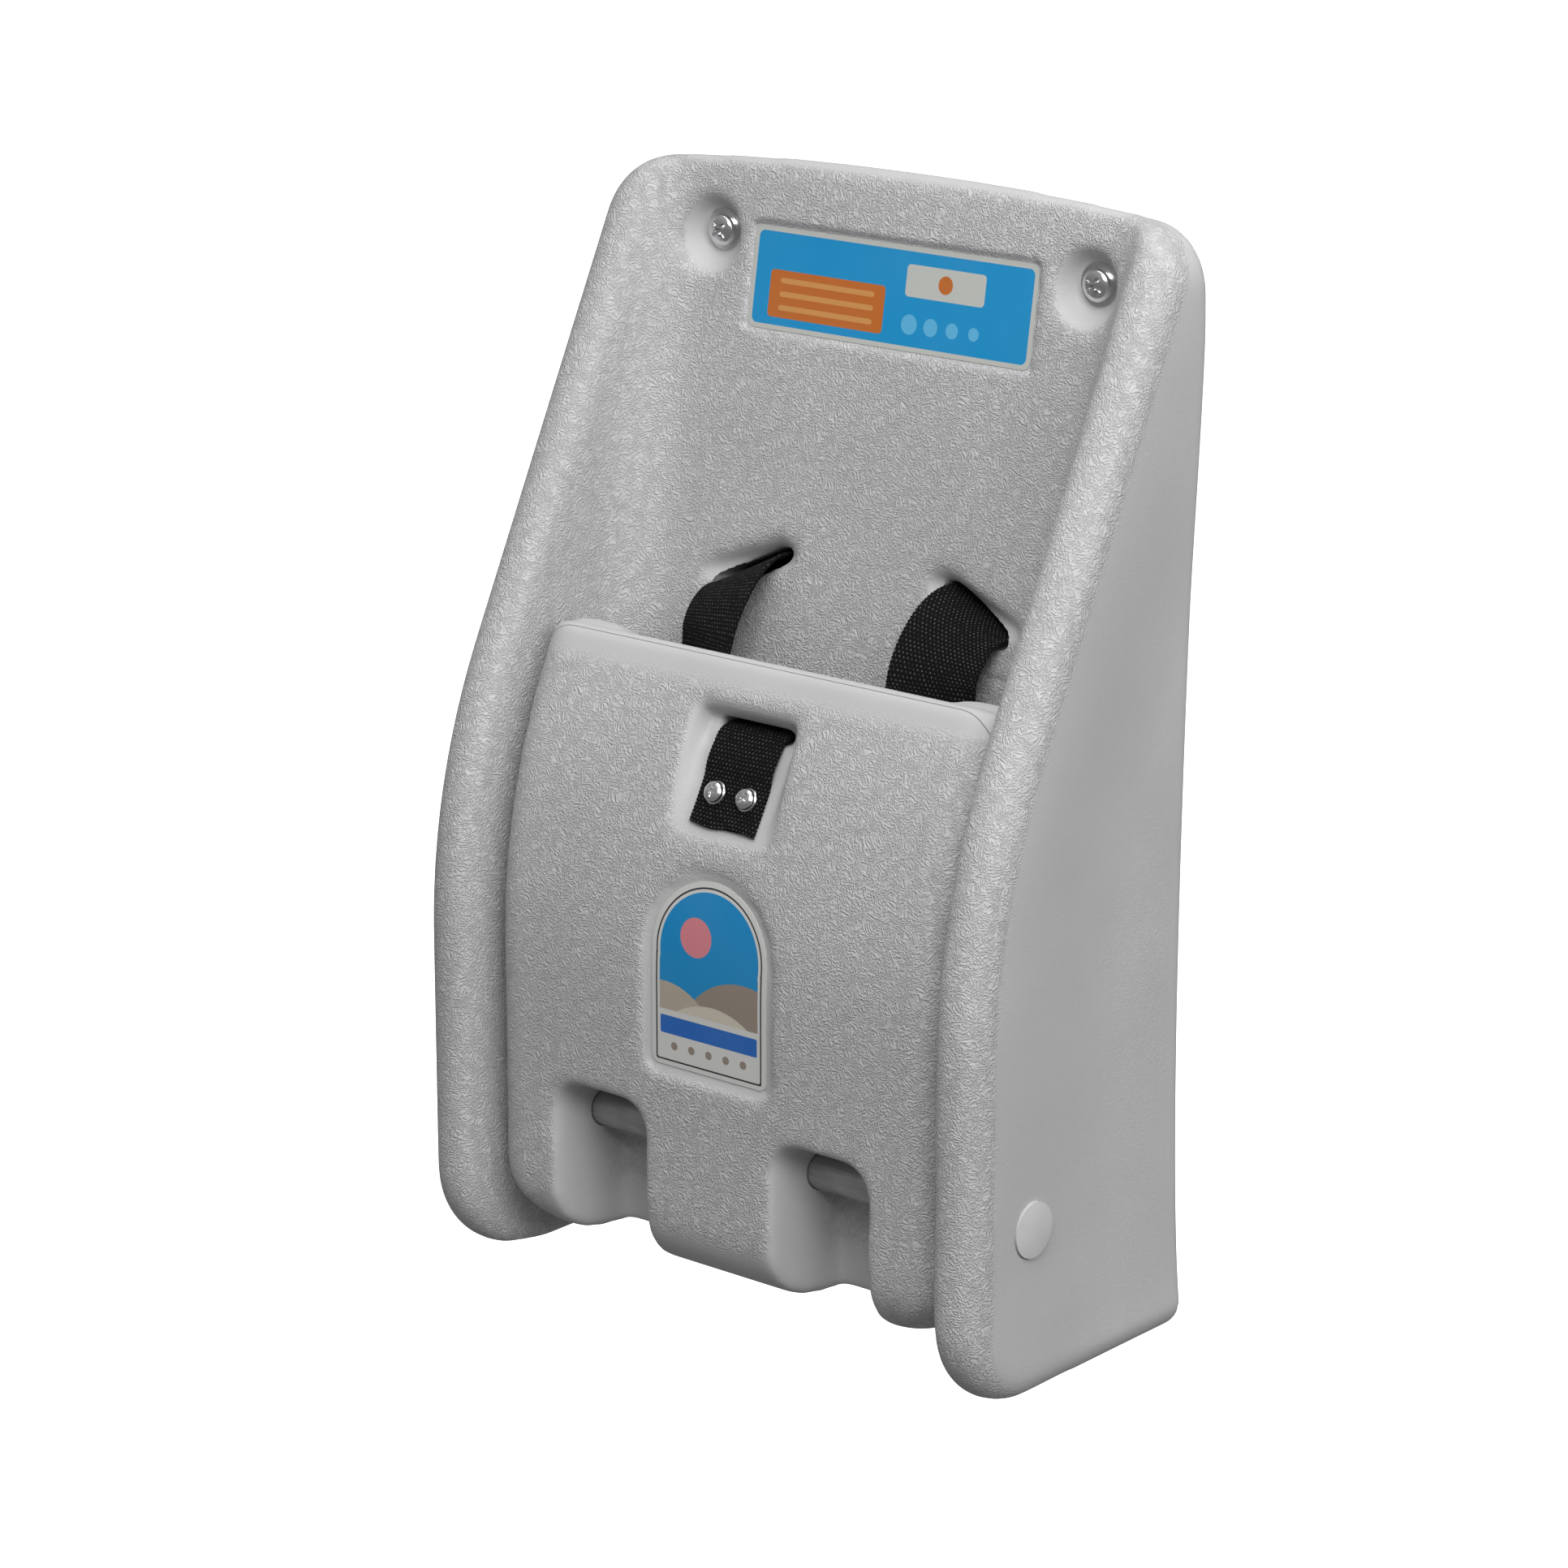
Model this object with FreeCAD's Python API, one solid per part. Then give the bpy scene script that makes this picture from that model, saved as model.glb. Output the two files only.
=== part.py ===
"""Wall-mounted folding child seat, in millimetres.

X runs across the seat, the wall is the plane Y = 0 and the front faces -Y, Z is up.
Heights below are measured from the bottom of the housing. The finished pieces are lowered so
that the origin lies on the wall, midway between the two upper wall screws.
"""
import FreeCAD
import Part
import math
import os

Vec = FreeCAD.Vector

# Housing, outside
HOUSING_W = 320.0
HOUSING_H = 505.0
HOUSING_D = 157.0
TOP_ARCH_R = 1400.0
TOP_CORNER_R = 28.0
TOP_DEPTH = 18.7
KNEE_Z = 227.7
BEND_R = 300.0
FOOT_R = 45.0
NOSE_R = 13.0
BACK_EDGE_R = 3.0

# Channel between the rails, and the tilted back panel
RAIL_W = 26.0
RAIL_INNER_R = 12.0
WALL_STEEPNESS = math.radians(87.0)
CREST_OVERCUT = 0.8
ROUND_SHARE = 0.9
PANEL_TOP_DEPTH = 10.4
PANEL_FILLET_R = 28.0
PANEL_ROLL_R = 16.0
PANEL_ROLL_DROP = 10.0
HARNESS_ROOM = 19.7

# Hollow walls of the two mouldings
WALL = 5.0
BOSS_WALL = 6.0

# Hinge
HINGE_SETBACK = 43.3
HINGE_Z = 79.8
ROD_OD = 19.0
ROD_WALL = 2.0
ROD_FIT = 0.05
CAP_OD = 25.0
CAP_RECESS = 2.0
CAP_DOME = 1.0
CAP_GAP = 0.6
CAP_PLUG_L = 12.0
BUSH_WALL = 2.4
BUSH_L = 34.0
BUSH_FLANGE_OD = 34.0
BUSH_FLANGE_T = 1.2
BUSH_SPOT_DEPTH = 0.4

# Folding seat
SEAT_GAP = 4.0
SEAT_SETBACK = 13.0
SEAT_TOP_Z = 303.0
SEAT_BOTTOM_Z = 20.0
SEAT_TOP_T = 34.0
SEAT_FACE_BEHIND_HINGE = 17.7
SEAT_INNER_BEND_R = 190.0
SEAT_FOOT_R = 30.0
SEAT_HEEL_R = 8.0
SEAT_BOTTOM_CORNER_R = 32.0
SEAT_EDGE_R = 18.0
SEAT_EDGE_SHARE = 0.6
SEAT_HEEL_SHARE = 0.3
SEAT_TOP_EDGE_R = 6.0
BOLSTER_W = 32.0
BOLSTER_INSET = 2.0
BOLSTER_RISE = 9.0
BOLSTER_OVERHANG = 5.0
BOLSTER_SETBACK = 14.0
BOLSTER_START_Z = 135.0
BOLSTER_R = 8.0
SEAT_BORE_GAP = 0.5
SWING_GAP = 3.0
POCKET_GAP = 2.0
STOP_GAP = 0.5

# Notches in the seat that show the hinge rod
NOTCH_X = 64.2
NOTCH_W = 40.5
NOTCH_FLARE = 7.0
NOTCH_TOP_Z = 92.0
NOTCH_CORNER_R = 10.0
NOTCH_ROD_GAP = 1.6

# Wall screws
UPPER_SCREW_SPACING = 212.0
UPPER_SCREW_DROP = 38.0
LOWER_SCREW_SPACING = 150.0
LOWER_SCREW_Z = 165.0
SCREW_D = 6.0
SCREW_L = 45.0
SCREW_TIP = 8.0
SCREW_HEAD_D = 15.0
SCREW_HEAD_H = 4.6
SCREW_HOLE_GAP = 0.5
WASHER_OD = 20.0
WASHER_T = 1.6
SCREW_SEAT_DEPTH = 5.0
SEAT_RIM = 2.0
UPPER_DIMPLE_ANGLE = math.radians(25.0)
LOWER_DIMPLE_ANGLE = math.radians(6.0)

# Screw heads, necks and points, as shares of the screw
HEAD_RIM = 0.35
CROSS_REACH = 0.3
CROSS_W = 0.095
CROSS_DEPTH = 0.45
NECK_SHARE = 0.88
POINT_END = 0.25

# Labels
LABEL_W = 160.0
LABEL_H = 46.0
LABEL_T = 0.3
LABEL_R = 4.0
LABEL_DROP = 31.0
LABEL_MARGIN = 2.5
LABEL_RECESS = 1.8
BADGE_W = 66.0
BADGE_BOTTOM_Z = 120.5
BADGE_H = 88.0
BADGE_R = 4.0
BADGE_MARGIN = 5.0
BADGE_RECESS = 2.6

# Harness
STRAP_W = 42.0
STRAP_T = 1.6
STRAP_FIT = 0.2
STRAP_BEND_R = 6.0
STRAP_DROP = 30.0
STRAP_TURN = math.radians(12.0)
STRAP_SEAT_GAP = 1.0
STRAP_TAIL = 4.0
SLOT_L = 46.0
SLOT_W = 7.0
SLOT_X = 64.3
SLOT_Z = 320.2
SLOT_SLANT = math.radians(25.9)
SLOT_DIMPLE = 9.0
SLOT_DIMPLE_DEPTH = 12.0
STRAP_BAR_D = 6.0
STRAP_BAR_L = 54.0
BAR_POCKET_GAP = 1.5
KEEPER_WALL = 3.0
KEEPER_L = 16.0
KEEPER_LIFT = 11.0
YOKE_T = 5.0
YOKE_H = 36.0
YOKE_TOP_Z = 200.0
YOKE_GAP = 0.8
YOKE_BAR = 8.0
YOKE_SLOT_H = 7.0
YOKE_SLOT_X = 42.0
PRONG_W = 30.0
PRONG_L = 28.0
PRONG_ARM = 6.0
PRONG_BARB = 2.0
PRONG_GUIDE_L = 22.0
CROTCH_STRAP_W = 38.0
CROTCH_SLOT_L = 42.0
CROTCH_SLOT_H = 7.0
CROTCH_SLOT_DROP = 32.0
CROTCH_STRAP_RUN = 40.0
CROTCH_RECESS_W = 56.0
CROTCH_RECESS_TOP_DEPTH = 11.4
CROTCH_RECESS_LOW_DEPTH = 2.8
CROTCH_RECESS_LEAN = math.radians(18.0)
CROTCH_SCREW_SPACING = 18.0
CROTCH_SCREW_RISE = 13.4
CROTCH_SCREW_D = 4.0
CROTCH_SCREW_L = 16.0
CROTCH_HEAD_D = 9.8
CROTCH_HEAD_H = 3.4
CROTCH_WASHER_OD = 10.8
CROTCH_WASHER_T = 0.8
SOCKET_W = 44.0
SOCKET_H = 46.0
SOCKET_T = 15.0
SOCKET_TOP_Z = 206.0
SOCKET_R = 5.0
SOCKET_WAIST = 2.5
SOCKET_GRIP = 8.0

# Worked out from the sizes above
HALF_W = HOUSING_W / 2
FRONT_TILT = math.atan((HOUSING_D - TOP_DEPTH) / (HOUSING_H - KNEE_Z))
BEND_START_Z = KNEE_Z - BEND_R * math.tan(FRONT_TILT / 2)
HINGE_Y = HINGE_SETBACK - HOUSING_D
ROD_R = ROD_OD / 2
CHANNEL_HALF = HALF_W - RAIL_W
SEAT_HALF = CHANNEL_HALF - SEAT_GAP
SEAT_FACE_Y = HINGE_Y + SEAT_FACE_BEHIND_HINGE
UPPER_SCREW_Z = HOUSING_H - UPPER_SCREW_DROP
BUSH_R = ROD_R + ROD_FIT + BUSH_WALL
BUSH_SEAT_X = SEAT_HALF - BUSH_SPOT_DEPTH
SWING_TOP_Z = HINGE_Z + SEAT_FACE_BEHIND_HINGE + STOP_GAP
PANEL_FOOT_DEPTH = -SEAT_FACE_Y - HARNESS_ROOM
PANEL_TILT = math.atan((PANEL_FOOT_DEPTH - PANEL_TOP_DEPTH) / (HOUSING_H - SWING_TOP_Z))
CROTCH_SLOT_Z = SEAT_TOP_Z - CROTCH_SLOT_DROP
CROTCH_END_Z = CROTCH_SLOT_Z - CROTCH_STRAP_RUN
CROTCH_SCREW_Z = CROTCH_END_Z + CROTCH_SCREW_RISE

# Tools for cutting run past the surfaces that they cut: a little, or past everything
OVERCUT = 1.0
RUN_OUT = 3.0
BEYOND = 60.0

SIDES = {"left": -1, "right": 1}


def box(x0, x1, y0, y1, z0, z1):
    """A block between two corners."""
    return Part.makeBox(x1 - x0, y1 - y0, z1 - z0, Vec(x0, y0, z0))


def rod_x(radius, x0, x1, y, z):
    """A cylinder along X."""
    return Part.makeCylinder(radius, x1 - x0, Vec(x0, y, z), Vec(1, 0, 0))


def rod_y(radius, x, y0, y1, z):
    """A cylinder along Y."""
    return Part.makeCylinder(radius, y1 - y0, Vec(x, y0, z), Vec(0, 1, 0))


def line(a, b):
    return Part.LineSegment(a, b).toShape()


def arc(a, mid, b):
    return Part.Arc(a, mid, b).toShape()


def closed_face(edges):
    return Part.Face(Part.Wire(edges))


def mirror_x(shape):
    return shape.mirror(Vec(0, 0, 0), Vec(1, 0, 0))


def both_sides(shape):
    """The shape and its mirror image as one group."""
    return Part.makeCompound([shape, mirror_x(shape)])


def on_side(shape, side):
    """The right-hand shape, mirrored when the left one is wanted."""
    return shape if side > 0 else mirror_x(shape)


def face_normal(face):
    u0, u1, v0, v1 = face.ParameterRange
    return face.normalAt((u0 + u1) / 2, (v0 + v1) / 2)


def edges_between(shape, first, second):
    """Edges where a face that passes one test meets a face that passes the other."""
    found = []
    for edge in shape.Edges:
        normals = [face_normal(f) for f in shape.ancestorsOfType(edge, Part.Face)]
        if len(normals) == 2 and any(
            first(normals[i]) and second(normals[1 - i]) for i in (0, 1)
        ):
            found.append(edge)
    return found


def is_outline(normal):
    """A face of the front view's outline: a side, a corner or the top."""
    return abs(normal.y) < 1e-3 and normal.z > -0.5 and abs(normal.x) + normal.z > 1e-3


def is_front(normal):
    """A face of the side view's front: slanted, bent, upright, or under the foot."""
    return abs(normal.x) < 1e-3 and (normal.y < -0.05 or normal.z < -0.9)


def is_back(normal):
    return normal.y > 0.99


def front_y(z, inset=0.0):
    """Y of the rail's front line at a height, or of that line moved inwards."""
    radius = BEND_R - inset
    bend_end_z = BEND_START_Z + radius * math.sin(FRONT_TILT)
    centre_y = -HOUSING_D + BEND_R
    if z <= BEND_START_Z:
        return -HOUSING_D + inset
    if z <= bend_end_z:
        return centre_y - math.sqrt(radius ** 2 - (z - BEND_START_Z) ** 2)
    return centre_y - radius * math.cos(FRONT_TILT) + (z - bend_end_z) * math.tan(FRONT_TILT)


def quarter_round(rise, radius):
    """How far a rounded lower edge lies back, at a height above its lowest point."""
    short = max(0.0, radius - max(0.0, rise))
    return radius - math.sqrt(radius ** 2 - short ** 2)


def bend_points(y, start_z, radius):
    """Start, middle and end of an arc that turns an upright line back by the front's tilt."""
    turns = (0.0, FRONT_TILT / 2, FRONT_TILT)
    return [
        Vec(0, y + radius * (1 - math.cos(a)), start_z + radius * math.sin(a)) for a in turns
    ]


def panel_y(z):
    """Y of the back panel, which rolls back over the top edge."""
    y = -PANEL_TOP_DEPTH - (HOUSING_H - z) * math.tan(PANEL_TILT)
    past_roll = z - (HOUSING_H - PANEL_ROLL_DROP)
    if past_roll > 0:
        y += PANEL_ROLL_R - math.sqrt(PANEL_ROLL_R ** 2 - past_roll ** 2)
    return y


def on_panel(shape, x, z):
    """Tilt a shape drawn on the plane Y = 0 and set it on the back panel."""
    placed = shape.copy()
    placed.rotate(Vec(0, 0, 0), Vec(1, 0, 0), -math.degrees(PANEL_TILT))
    placed.translate(Vec(x, panel_y(z), z))
    return placed


def rounded_plate(width, height, depth, radius):
    """An upright plate, centred on the origin, with its front on Y = 0 and its depth along +Y."""
    plate = box(-width / 2, width / 2, 0, depth, -height / 2, height / 2)
    corners = [e for e in plate.Edges if abs(e.tangentAt(e.FirstParameter).y) > 0.99]
    return plate.makeFillet(radius, corners)


def stadium(length, width, y, slant=0.0):
    """A slot outline in an upright plane, with its long axis along X and then turned down."""
    r = width / 2
    half = length / 2 - r
    top = [Vec(-half, y, r), Vec(half, y, r)]
    low = [Vec(half, y, -r), Vec(-half, y, -r)]
    wire = Part.Wire([
        line(top[0], top[1]),
        arc(top[1], Vec(half + r, y, 0), low[0]),
        line(low[0], low[1]),
        arc(low[1], Vec(-half - r, y, 0), top[0]),
    ])
    wire.rotate(Vec(0, 0, 0), Vec(0, 1, 0), math.degrees(slant))
    return wire


def housing_block():
    """The outside of the housing: its side view and its front view, crossed."""
    bend = bend_points(-HOUSING_D, BEND_START_Z, BEND_R)
    top_z = HOUSING_H + OVERCUT
    foot_turn = FOOT_R * (1 - math.sqrt(0.5))
    corner = [
        Vec(0, 0, 0),
        Vec(0, FOOT_R - HOUSING_D, 0),
        Vec(0, foot_turn - HOUSING_D, foot_turn),
        Vec(0, -HOUSING_D, FOOT_R),
    ]
    crown = [Vec(0, front_y(top_z), top_z), Vec(0, 0, top_z)]
    side = closed_face([
        line(corner[0], corner[1]),
        arc(corner[1], corner[2], corner[3]),
        line(corner[3], bend[0]),
        arc(*bend),
        line(bend[2], crown[0]),
        line(crown[0], crown[1]),
        line(crown[1], corner[0]),
    ])
    side.translate(Vec(-HALF_W - BEYOND, 0, 0))
    side_solid = side.extrude(Vec(HOUSING_W + 2 * BEYOND, 0, 0))

    arch_z = HOUSING_H - TOP_ARCH_R
    centre = Vec(
        HALF_W - TOP_CORNER_R,
        0,
        arch_z + math.sqrt((TOP_ARCH_R - TOP_CORNER_R) ** 2 - (HALF_W - TOP_CORNER_R) ** 2),
    )
    lean = math.atan2(centre.x, centre.z - arch_z)
    half_turn = (math.pi / 2 + lean) / 2
    meet = Vec(TOP_ARCH_R * math.sin(lean), 0, arch_z + TOP_ARCH_R * math.cos(lean))
    middle = centre + Vec(math.sin(half_turn), 0, math.cos(half_turn)) * TOP_CORNER_R
    shoulder = Vec(HALF_W, 0, centre.z)
    foot = Vec(HALF_W, 0, 0)

    def left(p):
        return Vec(-p.x, p.y, p.z)

    front = closed_face([
        line(left(foot), foot),
        line(foot, shoulder),
        arc(shoulder, middle, meet),
        arc(meet, Vec(0, 0, HOUSING_H), left(meet)),
        arc(left(meet), left(middle), left(shoulder)),
        line(left(shoulder), left(foot)),
    ])
    front_solid = front.extrude(Vec(0, -HOUSING_D - BEYOND, 0))
    block = side_solid.common(front_solid).removeSplitter()
    block = block.makeFillet(NOSE_R, edges_between(block, is_outline, is_front))
    rear = edges_between(block, is_back, lambda n: not is_back(n))
    return block.makeFillet(BACK_EDGE_R, rear)


def even_steps(start, end, count):
    """Heights after a start, up to and with an end."""
    return [start + (end - start) * k / count for k in range(1, count + 1)]


def rounded_steps(start, radius):
    """Heights up a rounded lower edge, closer together where it is steep."""
    turns = [math.radians(a) for a in (0, 18, 36, 54, 72, 90)]
    return [start + radius * (1 - math.cos(a)) for a in turns]


def channel_section(z):
    """The space between the rails at one height: rounded crests, steep walls, filleted panel."""
    crest_y = front_y(z) + quarter_round(z, FOOT_R) - CREST_OVERCUT
    depth = panel_y(z) - crest_y
    radii = RAIL_INNER_R + PANEL_FILLET_R
    turn = min(WALL_STEEPNESS, math.acos(max(-1.0, 1 - ROUND_SHARE * depth / radii)))
    crest_x = CHANNEL_HALF + RAIL_INNER_R
    sin, cos = math.sin(turn), math.cos(turn)
    straight = (depth - radii * (1 - cos)) / sin

    def on_crest(a):
        return Vec(
            crest_x - RAIL_INNER_R * math.sin(a), crest_y + RAIL_INNER_R * (1 - math.cos(a)), z
        )

    wall_end = on_crest(turn) + Vec(-cos, sin, 0) * straight
    centre = wall_end - Vec(sin, cos, 0) * PANEL_FILLET_R

    def on_fillet(a):
        return centre + Vec(math.sin(a), math.cos(a), 0) * PANEL_FILLET_R

    right = [
        Vec(crest_x, -HOUSING_D - BEYOND, z),
        on_crest(0),
        on_crest(turn / 2),
        on_crest(turn),
        wall_end,
        on_fillet(turn / 2),
        on_fillet(0),
    ]
    left = [Vec(-p.x, p.y, p.z) for p in right]
    edges = [line(left[0], right[0])]
    edges += [line(right[0], right[1]), arc(*right[1:4]), line(right[3], right[4])]
    edges += [arc(*right[4:7]), line(right[6], left[6])]
    edges += [arc(left[6], left[5], left[4]), line(left[4], left[3])]
    edges += [arc(left[3], left[2], left[1]), line(left[1], left[0])]
    return Part.Wire(edges)


def channel_cut():
    """Everything in front of the back panel, between the rails."""
    bend_end_z = BEND_START_Z + BEND_R * math.sin(FRONT_TILT)
    roll_z = HOUSING_H - PANEL_ROLL_DROP
    heights = [-RUN_OUT] + rounded_steps(0.0, FOOT_R)
    heights += even_steps(FOOT_R, BEND_START_Z, 3)
    heights += even_steps(BEND_START_Z, bend_end_z, 5)
    heights += even_steps(bend_end_z, roll_z, 5)
    heights += even_steps(roll_z, HOUSING_H + RUN_OUT, 3)
    return Part.makeLoft([channel_section(z) for z in heights], True, False)


def swing_radius():
    """How far the folded seat's lower end reaches from the hinge."""
    foot_y = front_y(0, SEAT_SETBACK) + SEAT_FOOT_R
    foot_z = SEAT_BOTTOM_Z + SEAT_FOOT_R
    front = math.hypot(foot_y - HINGE_Y, foot_z - HINGE_Z) + SEAT_FOOT_R
    heel_y = SEAT_FACE_Y - SEAT_HEEL_R
    heel_z = SEAT_BOTTOM_Z + SEAT_HEEL_R
    return max(front, math.hypot(heel_y - HINGE_Y, heel_z - HINGE_Z) + SEAT_HEEL_R)


def swing_back_y():
    return HINGE_Y + swing_radius() + SWING_GAP


def swing_cut():
    """The pocket under the back panel where the seat's lower end swings in."""
    half = SEAT_HALF + POCKET_GAP
    pocket = box(-half, half, HINGE_Y, swing_back_y(), -BEYOND, SWING_TOP_Z)
    upright = [
        e for e in pocket.Edges
        if abs(e.tangentAt(e.FirstParameter).z) > 0.99 and e.CenterOfMass.y > HINGE_Y + OVERCUT
    ]
    return pocket.makeFillet(NOSE_R, upright)


def screw_places(upper):
    """X and Z of the right-hand wall screw, and its dimple's slope."""
    if upper:
        return UPPER_SCREW_SPACING / 2, UPPER_SCREW_Z, UPPER_DIMPLE_ANGLE
    return LOWER_SCREW_SPACING / 2, LOWER_SCREW_Z, LOWER_DIMPLE_ANGLE


def screw_cuts():
    """Dimples and holes for the four wall screws."""
    cuts = []
    for upper in (True, False):
        x, z, slope = screw_places(upper)
        reach = SCREW_SEAT_DEPTH - front_y(z)
        floor_r = WASHER_OD / 2 + SEAT_RIM
        cone = Part.makeCone(
            floor_r, floor_r + reach * math.tan(slope), reach,
            Vec(x, -SCREW_SEAT_DEPTH, z), Vec(0, -1, 0),
        )
        hole = rod_y(SCREW_D / 2 + SCREW_HOLE_GAP, x, -SCREW_SEAT_DEPTH - OVERCUT, BEYOND, z)
        cuts += [cone, hole, mirror_x(cone), mirror_x(hole)]
    return cuts


def slot_cuts():
    """Strap slots with their dimples in front and the bars' pockets at the back."""
    mouth_y = panel_y(SLOT_Z)
    rings = []
    for grow in (0.0, 2 * SLOT_DIMPLE):
        y = mouth_y + SLOT_DIMPLE_DEPTH * (1 - grow / SLOT_DIMPLE)
        rings.append(stadium(SLOT_L + 2 * grow, SLOT_W + 2 * grow, y, SLOT_SLANT))
    funnel = Part.makeLoft(rings, True, True)
    slot = Part.Face(stadium(SLOT_L, SLOT_W, mouth_y - BEYOND, SLOT_SLANT))
    slot = slot.extrude(Vec(0, BEYOND - mouth_y + BEYOND, 0))
    depth = bar_y() - bar_loop_r() - BAR_POCKET_GAP
    pocket = Part.Face(
        stadium(STRAP_BAR_L + 2 * BAR_POCKET_GAP, 2 * (bar_loop_r() + BAR_POCKET_GAP), depth,
                SLOT_SLANT)
    )
    pocket = pocket.extrude(Vec(0, BEYOND, 0))
    cuts = []
    for shape in (funnel, slot, pocket):
        shape.translate(Vec(SLOT_X, 0, SLOT_Z))
        cuts += [shape, mirror_x(shape)]
    return cuts


def bar_loop_r():
    """Outer radius of the strap's loop round its bar."""
    return STRAP_BAR_D / 2 + STRAP_FIT + STRAP_T


def bar_y():
    """The bar lies in its pocket, clear of the wall."""
    return -bar_loop_r() - BAR_POCKET_GAP


def label_shape(margin, depth):
    """The upper label's outline on the panel, grown by a margin, with a depth into the panel."""
    return rounded_plate(LABEL_W + 2 * margin, LABEL_H + 2 * margin, depth, LABEL_R + margin)


def label_z():
    return HOUSING_H - LABEL_DROP - LABEL_H / 2


def housing_voids():
    """Sealed hollows of the moulding, kept clear of the bosses for screws, slots and rod."""
    top_z = label_z() - LABEL_H
    rear_y = swing_back_y() + WALL
    low = [Vec(0, -WALL, WALL), Vec(0, rear_y, WALL)]
    shelf_z = SWING_TOP_Z + WALL
    step = Vec(0, rear_y, shelf_z)
    lip = Vec(0, panel_y(shelf_z) + WALL, shelf_z)
    crown = [Vec(0, panel_y(top_z) + WALL, top_z), Vec(0, -WALL, top_z)]
    points = [low[0], low[1], step, lip, crown[0], crown[1], low[0]]
    half = CHANNEL_HALF - PANEL_FILLET_R
    middle = Part.Face(Part.makePolygon(points))
    middle.translate(Vec(-half, 0, 0))
    middle = middle.extrude(Vec(2 * half, 0, 0))
    x, z, slope = screw_places(False)
    boss_r = WASHER_OD / 2 + SEAT_RIM + math.tan(slope) * HOUSING_D / 2 + BOSS_WALL
    bosses = [rod_y(boss_r, s * x, -HOUSING_D, 0, z) for s in SIDES.values()]
    slot_boss = Part.Face(
        stadium(
            STRAP_BAR_L + 2 * (BAR_POCKET_GAP + BOSS_WALL),
            SLOT_W + 2 * (SLOT_DIMPLE + BOSS_WALL), -HOUSING_D, SLOT_SLANT,
        )
    ).extrude(Vec(0, HOUSING_D, 0))
    slot_boss.translate(Vec(SLOT_X, 0, SLOT_Z))
    middle = middle.cut(bosses + [slot_boss, mirror_x(slot_boss)])

    rail_low = HINGE_Z + CAP_OD / 2 + BOSS_WALL
    bend = bend_points(-HOUSING_D + 2 * WALL, BEND_START_Z, BEND_R - 2 * WALL)
    foot = [Vec(0, -WALL, rail_low), Vec(0, -HOUSING_D + 2 * WALL, rail_low)]
    head = [Vec(0, front_y(top_z, 2 * WALL), top_z), Vec(0, -WALL, top_z)]
    rail = closed_face([
        line(foot[0], foot[1]),
        line(foot[1], bend[0]),
        arc(*bend),
        line(bend[2], head[0]),
        line(head[0], head[1]),
        line(head[1], foot[0]),
    ])
    rail.translate(Vec(CHANNEL_HALF + WALL, 0, 0))
    rail = rail.extrude(Vec(RAIL_W - 2 * WALL, 0, 0))
    return [middle, rail, mirror_x(rail)]


def make_housing():
    body = housing_block()
    body = body.cut(channel_cut())
    body = body.cut(swing_cut())
    recess = on_panel(label_shape(LABEL_MARGIN, LABEL_RECESS + BEYOND), 0, label_z())
    recess.translate(Vec(0, -BEYOND * math.cos(PANEL_TILT), BEYOND * math.sin(PANEL_TILT)))
    body = body.cut([recess] + screw_cuts() + slot_cuts())
    bore = rod_x(ROD_R + ROD_FIT, -HALF_W, HALF_W, HINGE_Y, HINGE_Z)
    cap_end = HALF_W + OVERCUT
    cap = rod_x(CAP_OD / 2 + CAP_GAP, HALF_W - CAP_RECESS, cap_end, HINGE_Y, HINGE_Z)
    body = body.cut([bore, cap, mirror_x(cap)])
    return body.cut(housing_voids())


def make_instruction_label():
    plate = label_shape(0.0, LABEL_T)
    plate.translate(Vec(0, LABEL_RECESS - LABEL_T, 0))
    return on_panel(plate, 0, label_z())


def pan_screw(diameter, neck, length, tip, head_d, head_h):
    """A pan-head screw with a cross cut, along Y: its head seats on Y = 0, its neck follows."""
    r = diameter / 2
    along = Vec(0, 1, 0)
    plain = Part.makeCylinder(r * NECK_SHARE, neck, Vec(0, 0, 0), along)
    shank = Part.makeCylinder(r, length - tip - neck, Vec(0, neck, 0), along)
    point = Part.makeCone(r, r * POINT_END, tip, Vec(0, length - tip, 0), along)
    rim = head_h * HEAD_RIM
    ball_r = ((head_d / 2) ** 2 + (head_h - rim) ** 2) / (2 * (head_h - rim))
    head = Part.makeCylinder(head_d / 2, head_h, Vec(0, -head_h, 0), along)
    head = head.common(Part.makeSphere(ball_r, Vec(0, ball_r - head_h, 0)))
    reach = head_d * CROSS_REACH
    deep = -head_h + head_h * CROSS_DEPTH
    half = head_d * CROSS_W / 2
    slots = [
        box(-reach, reach, -head_h - OVERCUT, deep, -half, half),
        box(-half, half, -head_h - OVERCUT, deep, -reach, reach),
    ]
    return head.fuse([plain, shank, point]).cut(slots).removeSplitter()


def washer(outer_d, hole_d, thickness):
    """A flat washer with its back on Y = 0 and its front towards -Y."""
    ring = Part.makeCylinder(outer_d / 2, thickness, Vec(0, -thickness, 0), Vec(0, 1, 0))
    return ring.cut(Part.makeCylinder(hole_d / 2, thickness, Vec(0, -thickness, 0), Vec(0, 1, 0)))


def make_wall_screws(upper):
    x, z, _ = screw_places(upper)
    neck = SCREW_SEAT_DEPTH + WASHER_T
    screw = pan_screw(SCREW_D, neck, SCREW_L, SCREW_TIP, SCREW_HEAD_D, SCREW_HEAD_H)
    screw.translate(Vec(x, -neck, z))
    return both_sides(screw)


def make_wall_washers(upper):
    x, z, _ = screw_places(upper)
    ring = washer(WASHER_OD, SCREW_D + 2 * SCREW_HOLE_GAP, WASHER_T)
    ring.translate(Vec(x, -SCREW_SEAT_DEPTH, z))
    return both_sides(ring)


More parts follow.
